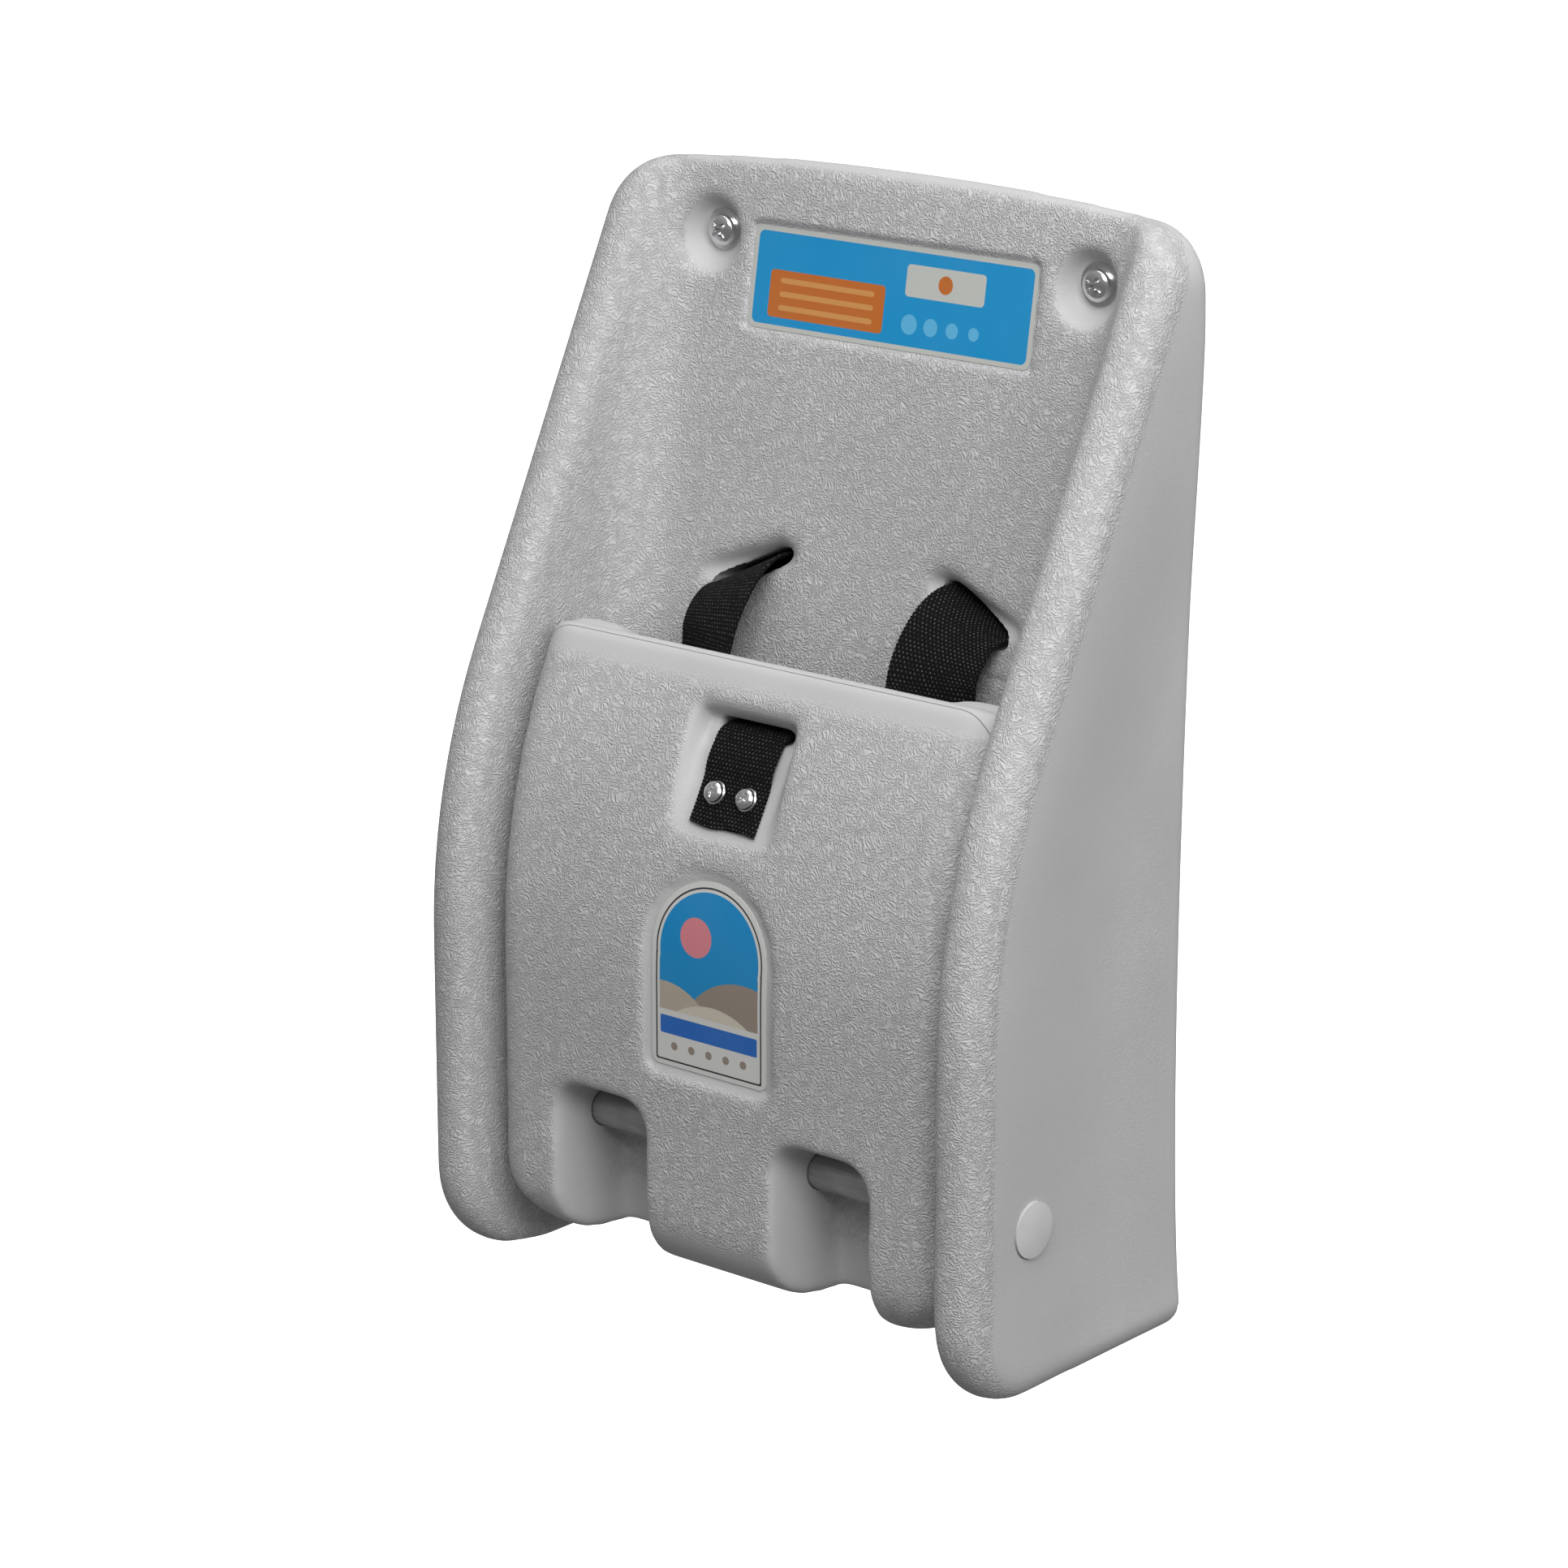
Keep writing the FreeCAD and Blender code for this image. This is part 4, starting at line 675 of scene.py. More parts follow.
def relax(mesh, passes, share):
    """Even out a surface: each pass moves vertices by a share towards their neighbours."""
    points = vertex_array(mesh)
    edges = np.empty(len(mesh.edges) * 2, dtype=np.int64)
    mesh.edges.foreach_get("vertices", edges)
    a, b = edges[0::2], edges[1::2]
    count = len(points)
    degree = np.bincount(a, minlength=count) + np.bincount(b, minlength=count)
    for _ in range(passes):
        for axis in range(3):
            column = points[:, axis].copy()
            total = np.bincount(a, column[b], count) + np.bincount(b, column[a], count)
            points[:, axis] += (total / degree - column) * share
    put_vertices(mesh, points)


def bore(obj, cylinders):
    """Cut round holes on the hinge axis; each is (radius, start, end)."""
    for radius, x0, x1 in cylinders:
        work = bmesh.new()
        add_plug(work, radius, x0, x1)
        cutter = object_from(work, "cutter")
        cut = obj.modifiers.new("Bore", "BOOLEAN")
        cut.operation = "DIFFERENCE"
        cut.solver = "MANIFOLD"
        cut.object = cutter
        before = len(obj.data.vertices)
        settle(obj)
        bpy.data.objects.remove(cutter)
        if len(obj.data.vertices) == before:
            raise RuntimeError("a bore was not cut in " + obj.name)


def thin_out(obj, triangles):
    """Collapse flat stretches until the mesh has no more than the given triangles."""
    count = sum(len(p.vertices) - 2 for p in obj.data.polygons)
    if count > triangles:
        thin = obj.modifiers.new("Thin out", "DECIMATE")
        thin.ratio = triangles / count
        settle(obj)


def rounded_copy(name, node, width):
    """A copy of a node with all its sharp edges rounded."""
    work = outer_skin(node)
    bmesh.ops.dissolve_limit(
        work, angle_limit=math.radians(1), verts=work.verts, edges=work.edges
    )
    obj = object_from(work, name)
    bevel = obj.modifiers.new("Rounded edges", "BEVEL")
    bevel.width = width
    bevel.segments = 3
    bevel.limit_method = "ANGLE"
    bevel.angle_limit = math.radians(40)
    settle(obj)
    smooth_shading(obj.data)
    return obj


def lathe(name, profile, segments, shape=None):
    """Turn a profile of (radius, height) about Z; shape may move the points."""
    rows = np.array(profile)
    angle = np.linspace(0, 2 * math.pi, segments, endpoint=False)[None, :]
    radius = np.repeat(rows[:, :1], segments, axis=1)
    height = np.repeat(rows[:, 1:], segments, axis=1)
    if shape:
        radius, height = shape(radius, height, angle)
    x, y = radius * np.cos(angle), radius * np.sin(angle)
    points = np.stack([x, y, height], axis=2).reshape(-1, 3)
    faces = []
    for i in range(len(rows) - 1):
        for j in range(segments):
            k = (j + 1) % segments
            near, far = i * segments, (i + 1) * segments
            faces.append((near + j, far + j, far + k, near + k))
    mesh = bpy.data.meshes.new(name)
    mesh.from_pydata(points.tolist(), [], faces)
    work = bmesh.new()
    work.from_mesh(mesh)
    bmesh.ops.remove_doubles(work, verts=work.verts, dist=MERGE_DIST)
    bmesh.ops.recalc_face_normals(work, faces=work.faces)
    work.to_mesh(mesh)
    work.free()
    smooth_shading(mesh)
    return mesh


def screw_mesh(diameter, neck, length, head_d):
    """A pan-head screw along Z, its head's underside at 0: domed head, cross recess, thread."""
    head_r, head_h = head_d / 2, head_d * 0.33
    rim = head_h * 0.3
    root, pitch = diameter * 0.4, diameter * 0.4
    tip = diameter * 1.3
    share = np.linspace(0, 1, 34)
    dome = [(head_r * s, rim + (head_h - rim) * math.sqrt(1 - s ** 2.3)) for s in share]
    shank = np.arange(neck, length - tip, pitch / 6)
    rows = dome + [(head_r * 0.99, 0.0), (diameter * 0.44, 0.0), (diameter * 0.44, -neck)]
    rows += [(root, -z) for z in shank]
    rows += [(root * 0.25, -length), (0.0, -length)]
    cross_reach, cross_half = head_r * 0.58, head_r * 0.13

    def shape(radius, height, angle):
        x, y = radius * np.cos(angle), radius * np.sin(angle)
        in_head = height > rim * 0.99
        arm_x = (np.abs(x) < cross_reach) & (np.abs(y) < cross_half)
        arm_y = (np.abs(y) < cross_reach) & (np.abs(x) < cross_half)
        fall = 1 - 0.6 * (radius / cross_reach) ** 2
        sink = head_h * 0.5 * fall * (arm_x | arm_y)
        height = np.where(in_head, height - sink, height)
        turn = (height / pitch + angle / (2 * math.pi)) % 1.0
        crest = (diameter / 2 - root) * np.clip(1 - np.abs(turn - 0.5) * 3.2, 0.0, 1.0)
        threaded = (height < -neck) & (height > tip - length)
        return np.where(threaded, radius + crest, radius), height

    return lathe("screw", rows, 72, shape)


def washer_mesh(outer_d, hole_d, thickness):
    """A flat washer on the plane Z = 0 with broken edges."""
    outer, inner, edge = outer_d / 2, hole_d / 2, thickness * 0.2
    rows = [
        (inner, edge), (inner + edge, 0.0), (outer - edge, 0.0), (outer, edge),
        (outer, thickness - edge), (outer - edge, thickness), (inner + edge, thickness),
        (inner, thickness - edge), (inner, edge),
    ]
    return lathe("washer", rows, 72)


def scatter_tree():
    """Geometry nodes that set a model on every point, turned to the point's facing and spin."""
    tree = bpy.data.node_groups.new("Set on points", "GeometryNodeTree")
    sockets = (
        ("Geometry", "INPUT", "NodeSocketGeometry"), ("Model", "INPUT", "NodeSocketObject"),
        ("Material", "INPUT", "NodeSocketMaterial"), ("Geometry", "OUTPUT", "NodeSocketGeometry"),
    )
    for name, side, kind in sockets:
        tree.interface.new_socket(name, in_out=side, socket_type=kind)

    def add(kind, links=(), **settings):
        node = tree.nodes.new(kind)
        for key, value in settings.items():
            setattr(node, key, value)
        for socket, source in links:
            tree.links.new(source, node.inputs[socket])
        return node

    def attribute(name, kind):
        node = add("GeometryNodeInputNamedAttribute", data_type=kind)
        node.inputs["Name"].default_value = name
        return node.outputs["Attribute"]

    given = add("NodeGroupInput").outputs
    points = add("GeometryNodeMeshToPoints", [("Mesh", given["Geometry"])])
    model = add("GeometryNodeObjectInfo", [("Object", given["Model"])])
    spin = add("FunctionNodeAxisAngleToRotation", [("Angle", attribute("spin", "FLOAT"))])
    spin.inputs["Axis"].default_value = (0, 0, 1)
    turn = add(
        "FunctionNodeAlignRotationToVector",
        [("Rotation", spin.outputs[0]), ("Vector", attribute("facing", "FLOAT_VECTOR"))],
        axis="Z",
    )
    places = add(
        "GeometryNodeInstanceOnPoints",
        [
            ("Points", points.outputs[0]), ("Instance", model.outputs["Geometry"]),
            ("Rotation", turn.outputs[0]),
        ],
    )
    real = add("GeometryNodeRealizeInstances", [("Geometry", places.outputs[0])])
    painted = add(
        "GeometryNodeSetMaterial",
        [("Geometry", real.outputs[0]), ("Material", given["Material"])],
    )
    add("NodeGroupOutput", [("Geometry", painted.outputs[0])])
    return tree


def scatter(name, model_mesh, places, material):
    """One object with a model at each place; a place is (point, facing, spin)."""
    tree = bpy.data.node_groups.get("Set on points") or scatter_tree()
    mesh = bpy.data.meshes.new(name)
    mesh.from_pydata([tuple(point) for point, _, _ in places], [], [])
    facing = mesh.attributes.new("facing", "FLOAT_VECTOR", "POINT")
    facing.data.foreach_set("vector", [c for _, face, _ in places for c in face])
    put_attribute(mesh, "spin", [turn for _, _, turn in places])
    model = new_object("model", model_mesh)
    obj = new_object(name, mesh)
    nodes = obj.modifiers.new("Set on points", "NODES")
    nodes.node_group = tree
    values = {"Model": model, "Material": material}
    for item in tree.interface.items_tree:
        if item.in_out == "INPUT" and item.name in values:
            nodes[item.identifier] = values[item.name]
    settle(obj)
    bpy.data.objects.remove(model)
    return obj


def spline(stations, step):
    """Rows at even steps on a smooth curve through stations of any number of columns."""
    stations = np.asarray(stations, dtype=float)
    gaps = np.linalg.norm(np.diff(stations[:, :3], axis=0), axis=1)
    at = np.concatenate([[0.0], np.cumsum(gaps)])
    slope = np.gradient(stations, at, axis=0)
    s = np.arange(0.0, at[-1], step)
    k = np.clip(np.searchsorted(at, s, side="right") - 1, 0, len(at) - 2)
    h = (at[k + 1] - at[k])[:, None]
    t = (s - at[k])[:, None] / h
    first = (1 + 2 * t) * (1 - t) ** 2 * stations[k] + t * (1 - t) ** 2 * h * slope[k]
    last = t * t * (3 - 2 * t) * stations[k + 1] + t * t * (t - 1) * h * slope[k + 1]
    return first + last


def webbing_strip(name, stations, width, settings, wavy_end=0.0):
    """Webbing along stations of (point, across): rounded selvedges, scalloped by the rows."""
    rows = spline([(*point, *across) for point, across in stations], mm(0.5))
    centre = rows[:, :3]
    along = unit(np.gradient(centre, axis=0))
    out = unit(np.cross(along, rows[:, 3:]))
    across = np.cross(out, along)
    steps = np.linalg.norm(np.diff(centre, axis=0), axis=1)
    run = np.concatenate([[0.0], np.cumsum(steps)])
    scallop = mm(0.25) * np.cos(run * (2 * math.pi / settings.weave_along))
    half = width / 2 - mm(0.25) + scallop
    share = np.sin(np.linspace(-math.pi / 2, math.pi / 2, 17))
    edge = np.clip(1 - (1 - np.abs(share)) * width / 2 / settings.thickness, 0, 1)
    bulge = np.sqrt(1 - 0.85 * edge ** 2)
    u = np.concatenate([share, share[::-1]])
    w = np.concatenate([bulge, -bulge[::-1]]) * settings.thickness / 2
    side = half[:, None] * u[None, :]
    ripple = wavy_end * np.exp(-run / mm(5))[:, None] * np.sin(side * (2 * math.pi / mm(27)))
    points = (
        centre[:, None, :] + across[:, None, :] * side[:, :, None]
        + out[:, None, :] * w[None, :, None] + along[:, None, :] * ripple[:, :, None]
    )
    count, ring = side.shape
    i, j = np.meshgrid(np.arange(count - 1), np.arange(ring), indexing="ij")
    k = (j + 1) % ring
    quads = np.stack([i * ring + j, i * ring + k, (i + 1) * ring + k, (i + 1) * ring + j], axis=2)
    ends = [list(range(ring))[::-1], list(range((count - 1) * ring, count * ring))]
    mesh = bpy.data.meshes.new(name)
    mesh.from_pydata(points.reshape(-1, 3).tolist(), [], quads.reshape(-1, 4).tolist() + ends)
    put_attribute(mesh, "across", side.ravel())
    put_attribute(mesh, "along", np.repeat(run, ring))
    mesh.validate()
    smooth_shading(mesh)
    return new_object(name, mesh)


class BuildStep:
    """What the operators share: each builds its pieces from the scene's settings."""

    def execute(self, context):
        self.build(context.scene)
        return {"FINISHED"}


class WALLSEAT_OT_housing(BuildStep, bpy.types.Operator):
    """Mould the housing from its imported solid: soft edges, bowed walls and a grained front"""

    bl_idname = "wall_seat.housing"
    bl_label = "Housing"

    def build(self, scene):
        moulding = scene.wall_seat_moulding
        work = outer_skin("housing")
        for side in SIDES.values():
            add_plug(work, CAP_R + mm(2), side * CAP_PLUG_X, side * HALF_W)
        obj = even_copy("housing_moulding", work, moulding.housing_step)
        self.soften(obj.data)
        self.close_flares(obj.data)
        self.draw_in_walls(obj.data, moulding)
        cuts = []
        for side in SIDES.values():
            cuts.append((ROD_R + mm(0.05), side * ROD_BORE_X, side * (CAP_SEAT_X + mm(1))))
            cuts.append((CAP_R + CAP_GAP, side * CAP_SEAT_X, side * (HALF_W + mm(5))))
        bore(obj, cuts)
        thin_out(obj, moulding.triangles)
        self.mark(obj.data, moulding)
        smooth_shading(obj.data)
        dress(obj, moulded_plastic(moulding), "housing", "grey_plastic", "housing")

    def soften(self, mesh):
        """Round the edges everywhere, less round the label and in the strap slots."""
        points = vertex_array(mesh)
        low = LABEL_LOW - Vector((mm(4), mm(6), mm(4)))
        high = LABEL_HIGH + Vector((mm(4), mm(6), mm(4)))
        crisp = near_box(points, low, high, mm(8))
        throat = ramp(points[:, 1] - panel_y(points[:, 2]), mm(12), mm(18))
        relax(mesh, SOFT_PASSES, 0.6 * (1 - 0.85 * crisp) * (1 - 0.8 * throat))
        points = vertex_array(mesh)
        under = (np.abs(points[:, 0]) < LABEL_HIGH.x + LABEL_MARGIN)
        under &= np.abs(points[:, 2] - (LABEL_LOW.z + LABEL_HIGH.z) / 2) < (
            (LABEL_HIGH.z - LABEL_LOW.z) / 2 + LABEL_MARGIN)
        under &= points[:, 1] < LABEL_HIGH.y + mm(3)
        floor = LABEL_HIGH.y - (LABEL_HIGH.z - points[:, 2]) * PANEL_SLOPE
        press_bed(mesh, points, under, floor)

    def close_flares(self, mesh):
        """Leave the slots' flares open above and inwards, where the straps don't lie on them."""
        points = vertex_array(mesh)
        across, rise = self.slot_frame(points)
        run = np.maximum(np.abs(across) - (SLOT_LENGTH - SLOT_WIDTH) / 2, 0.0)
        gap = np.hypot(run, rise) - SLOT_WIDTH / 2
        flat = panel_y(points[:, 2])
        sunk = points[:, 1] - flat
        flare = (gap > mm(-0.5)) & (gap < FLARE_REACH) & (sunk > 0) & (sunk < FLARE_DEPTH)
        kept = 0.1 + 0.7 * ramp(rise - 0.25 * across, mm(-5), mm(8))
        points[:, 1] = np.where(flare, flat + sunk * kept, points[:, 1])
        put_vertices(mesh, points)

    def slot_frame(self, points):
        """Places along and across the nearer slot, outwards and upwards."""
        x = np.abs(points[:, 0]) - SLOT.x
        z = points[:, 2] - SLOT.z
        c, s = math.cos(SLOT_SLANT), math.sin(SLOT_SLANT)
        return x * c - z * s, x * s + z * c

    def draw_in_walls(self, mesh, moulding):
        points = vertex_array(mesh)
        height = (points[:, 2] - FLOOR_Z) / (HOUSING_HIGH.z - FLOOR_Z)
        outer = ramp(np.abs(points[:, 0]), HALF_W - mm(16), HALF_W - mm(4))
        back = ramp(points[:, 1] - front_y(points[:, 2], 0.0), mm(10), mm(110))
        share = np.clip(height, 0, 1) ** 0.62
        bow = moulding.wall_bow * 4 * share * (1 - share) * back * outer
        points[:, 0] -= np.sign(points[:, 0]) * bow
        put_vertices(mesh, points)

    def mark(self, mesh, moulding):
        """Say where the grain fades, the back being plain, and where nose and flank meet."""
        points = vertex_array(mesh)
        inset = profile_inset(points, moulding.nose_depth - mm(4)) - moulding.nose_depth
        outside = ramp(np.abs(points[:, 0]), HALF_W - mm(14), HALF_W - mm(6))
        flank = outside * ramp(inset, mm(-2), mm(2))
        depth = points[:, 1] - panel_y(points[:, 2])
        hollow = ramp(depth, mm(0.8), mm(2.4)) * (np.abs(points[:, 0]) < mm(125))
        put_attribute(mesh, "flank", outside)
        wall_side = ramp(points[:, 1], mm(-12), mm(-4)) * (points[:, 2] < HOUSING_HIGH.z - mm(6))
        put_attribute(mesh, "grain", (1 - 0.85 * flank) * (1 - 0.9 * hollow) * (1 - wall_side))
        put_attribute(mesh, "seam", np.where(outside > 0.5, inset / mm(1), 100.0))


class WALLSEAT_OT_seat(BuildStep, bpy.types.Operator):
    """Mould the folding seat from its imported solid"""

    bl_idname = "wall_seat.seat"
    bl_label = "Folding seat"

    def build(self, scene):
        moulding = scene.wall_seat_moulding
        work = outer_skin("seat_panel")
        inner, outer = NOTCH_X - NOTCH_HALF, NOTCH_X + NOTCH_HALF
        add_plug(work, ROD_R + mm(1.5), -inner, inner)
        for side in SIDES.values():
            add_plug(work, BUSH_R + mm(1.5), side * outer, side * SEAT_HIGH.x)
        obj = even_copy("seat_moulding", work, moulding.seat_step)
        self.soften(obj.data)
        reach = SEAT_HIGH.x + mm(3)
        cuts = [(ROD_R + ROD_GAP, -BUSH_END_X - mm(1), BUSH_END_X + mm(1))]
        for side in SIDES.values():
            cuts.append((BUSH_R, side * BUSH_END_X, side * reach))
        bore(obj, cuts)
        thin_out(obj, moulding.triangles)
        self.mark(obj.data)
        smooth_shading(obj.data)
        dress(obj, moulded_plastic(moulding), "seat", "grey_plastic", "seat_panel")

    def soften(self, mesh):
        """Round the edges: most in the notches, bolster ends and recess, least in the slot."""
        points = vertex_array(mesh)
        slot = Vector((mm(26), mm(60), mm(6)))
        middle = Vector((0, SEAT_HIGH.y, CROTCH_SLOT_Z))
        throat = near_box(points, middle - slot, middle + slot, mm(2))
        low = (-mm(100), FRONT_Y, SEAT_LOW.z)
        high = (mm(100), HINGE.y + mm(20), HINGE.z + mm(26))
        notches = near_box(points, low, high, mm(10))
        relax(mesh, SOFT_PASSES, (0.42 + 0.5 * notches) * (1 - 0.7 * throat))
        points = vertex_array(mesh)
        x, y, z = np.abs(points[:, 0]), points[:, 1], points[:, 2]
        ears = ramp(x, mm(84), mm(96))
        ears *= ramp(y, SEAT_TOP_FRONT_Y + mm(9), SEAT_TOP_FRONT_Y + mm(14))
        ears *= ramp(z, SEAT_HIGH.z - mm(20), SEAT_HIGH.z - mm(10))
        relax(mesh, 50, 0.85 * ears)
        low = (-mm(36), FRONT_Y, CROTCH_SCREW_SEAT.z - mm(34))
        high = (mm(36), SEAT_HIGH.y, CROTCH_SLOT_Z + mm(14))
        skin = 1 - ramp(y - front_y(z, SEAT_INSET), mm(14), mm(18))
        relax(mesh, 22, 0.6 * near_box(points, low, high, mm(10)) * skin * (1 - 0.85 * throat))
        points = vertex_array(mesh)
        x, z = np.abs(points[:, 0]), points[:, 2]
        half = BADGE_HIGH.x + LABEL_MARGIN
        spring = BADGE_HIGH.z - BADGE_HIGH.x
        under = (x < half) & (z > BADGE_LOW.z - LABEL_MARGIN)
        under &= (z < spring) | (np.hypot(x, z - spring) < half)
        floor = front_y(z, SEAT_INSET + BADGE_RECESS)
        under &= points[:, 1] < floor + mm(3)
        press_bed(mesh, points, under, floor)

    def mark(self, mesh):
        """Say where the grain fades and where the parting line along the top runs."""
        points = vertex_array(mesh)
        x, z = np.abs(points[:, 0]), points[:, 2]
        depth = profile_inset(points) - SEAT_INSET
        hollow = ramp(depth, mm(0.5), mm(1.8)) * (1 - ramp(depth, mm(20), mm(45)))
        hollow *= 1 - ramp(x, mm(92), mm(104))
        top = ramp(z, SEAT_HIGH.z - mm(17), SEAT_HIGH.z - mm(7))
        ear = ramp(z, SEAT_HIGH.z - mm(2), SEAT_HIGH.z + mm(1))
        put_attribute(mesh, "grain", (1 - 0.9 * hollow) * (1 - np.maximum(top, ear)))
        line_turn = math.radians(66)
        back = np.array((math.sin(line_turn), math.cos(line_turn)))
        middle = np.array((SEAT_TOP_FRONT_Y + mm(3), SEAT_HIGH.z - mm(6)))
        bent = mm(3.5) * ramp(x, SEAT_HIGH.x - mm(24), SEAT_HIGH.x) ** 2
        seam = ((points[:, 1:] - middle) @ back + bent) / mm(1)
        put_attribute(mesh, "seam", np.where(z > SEAT_HIGH.z - mm(16), seam, 100.0))


class WALLSEAT_OT_hinge(BuildStep, bpy.types.Operator):
    """Finish the hinge rod, its caps and bushes and the strap bars"""

    bl_idname = "wall_seat.hinge"
    bl_label = "Hinge"

    def build(self, scene):
        moulding = scene.wall_seat_moulding
        paint_nodes(dull_steel(), "hinge_rod", "left_strap_bar", "right_strap_bar")
        paint_nodes(smooth_grey_plastic(moulding), "rod_end_cap_left", "rod_end_cap_right")
        paint_nodes(pale_nylon(), "hinge_bush_left", "hinge_bush_right")


class WALLSEAT_OT_prints(BuildStep, bpy.types.Operator):
    """Print the label and the badge"""

    bl_idname = "wall_seat.prints"
    bl_label = "Prints"

    def build(self, scene):
        middle = (LABEL_LOW + LABEL_HIGH) / 2
        size = (LABEL_HIGH - LABEL_LOW) / 2
        paint_nodes(label_print(middle, size.x, size.z), "instruction_label")
        paint_nodes(badge_print(BADGE_LOW, BADGE_HIGH), "seat_badge")


class WALLSEAT_OT_fixings(BuildStep, bpy.types.Operator):
    """Make the screws and washers"""

    bl_idname = "wall_seat.fixings"
    bl_label = "Screws and washers"

    def build(self, scene):
        harness, fixings = scene.wall_seat_harness, scene.wall_seat_fixings
        steel = bright_steel()
        out = Vector((0, -1, 0))
        wall_washer = WALL_WASHER_Y - WALL_HEAD_Y
        rows = {"upper": (UPPER_SCREW_X, 0.0, 0.9), "lower": (LOWER_SCREW_X, LOWER_SCREW_Z, 0.35)}
        for name, (x, z, spin) in rows.items():
            heads = [(Vector((s * x, WALL_HEAD_Y, z)), out, s * spin) for s in SIDES.values()]
            rings = [(Vector((s * x, WALL_WASHER_Y, z)), out, 0.0) for s in SIDES.values()]
            screw = screw_mesh(
                fixings.wall_screw_d, -WALL_HEAD_Y, fixings.wall_screw_length, fixings.wall_head_d
            )
            ring = washer_mesh(WALL_WASHER_D, fixings.wall_screw_d + mm(0.6), wall_washer)
            self.fasten(name + "_wall", "housing", steel, screw, heads, ring, rings)
        lift = harness.thickness + mm(0.4)
        thick = CROTCH_WASHER_THICK
        seats = [CROTCH_SCREW_SEAT + Vector((s * CROTCH_SCREW_X, 0, 0)) for s in SIDES.values()]
        heads = [(p + CROTCH_OUT * (lift + thick), CROTCH_OUT, 0.5 + p.x * 60) for p in seats]
        rings = [(p + CROTCH_OUT * lift, CROTCH_OUT, 0.0) for p in seats]
        screw = screw_mesh(
            fixings.strap_screw_d, lift + thick, fixings.strap_screw_length, fixings.strap_head_d
        )
        ring = washer_mesh(CROTCH_WASHER_D, fixings.strap_screw_d + mm(0.4), thick)
        self.fasten("crotch_strap", "seat", steel, screw, heads, ring, rings)

    def fasten(self, prefix, body, steel, screw, heads, ring, rings):
        """Set a pair of screws and their washers."""
        for kind, model, places in (("_screws", screw, heads), ("_washers", ring, rings)):
            obj = scatter(prefix + kind + "_turned", model, places, steel)
            dress(obj, steel, body, "screw_steel", prefix + kind)


class WALLSEAT_OT_shoulder_straps(BuildStep, bpy.types.Operator):
    """Weave the two shoulder straps from their bars through the slots to the yoke"""

    bl_idname = "wall_seat.shoulder_straps"
    bl_label = "Shoulder straps"

    def build(self, scene):
        harness = scene.wall_seat_harness
        webbing = woven_webbing(harness)
        for name, side in SIDES.items():
            flip = Vector((side, 1, 1))
            stations = [(point * flip, across * flip) for point, across in self.route(harness)]
            obj = webbing_strip(
                name + "_shoulder_webbing", stations, harness.strap_width, harness
            )
            dress(obj, webbing, "housing", "webbing", name + "_shoulder_strap")

    def route(self, harness):
        """The right strap's stations: a loop round the bar, a bow over the slot, a turn below."""
        slant = Vector((math.cos(SLOT_SLANT), 0, -math.sin(SLOT_SLANT)))
        up = Vector((math.sin(SLOT_SLANT), 0, math.cos(SLOT_SLANT)))
        loop_r = mm(4)
        neck, apart = SLOT + Vector((0, mm(-17), 0)), up * mm(0.85)
        stations = [(neck - apart, slant)]
        for degrees in range(-100, 101, 25):
            a = math.radians(degrees)
            reach = Vector((0, math.cos(a), 0)) + up * math.sin(a)
            stations.append((SLOT + reach * loop_r, slant))
        stations.append((neck + apart, slant))
        bow_start, bow_reach, bow_drop = mm(-34), mm(28), mm(30)
        turn = math.radians(19)
        hang = Vector((math.cos(turn), math.sin(turn), 0))
        fullness = 1.7
        for share in (0.0, 0.2, 0.4, 0.6, 0.8, 1.0):
            a = share * math.pi / 2
            reach = math.sin(a) ** (2 / fullness)
            drop = 1 - math.cos(a) ** (2 / fullness)
            offset = Vector((0, bow_start - bow_reach * reach, -bow_drop * drop))
            stations.append((SLOT + offset, slant.lerp(hang, share)))
        level = Vector((1, 0, 0))
        x = (KEEPER_LOW.x + KEEPER_HIGH.x) / 2
        middle = (YOKE_LOW.y + YOKE_HIGH.y) / 2
        radius = (YOKE_HIGH.y - YOKE_LOW.y + harness.thickness) / 2 + mm(0.2)
        turn_z = YOKE_HIGH.z - mm(10.5)
        tail_z = KEEPER_HIGH.z + mm(4)
        stations.append((Vector((x, middle - radius, tail_z)), level))
        stations.append((Vector((x, middle - radius, turn_z + mm(10))), level))
        for degrees in range(0, 181, 30):
            a = math.radians(degrees)
            drop = Vector((x, middle - radius * math.cos(a), turn_z - radius * math.sin(a)))
            stations.append((drop, level))
        stations.append((Vector((x, middle + radius, turn_z + mm(10))), level))
        stations.append((Vector((x, middle + radius, tail_z)), level))
        return stations


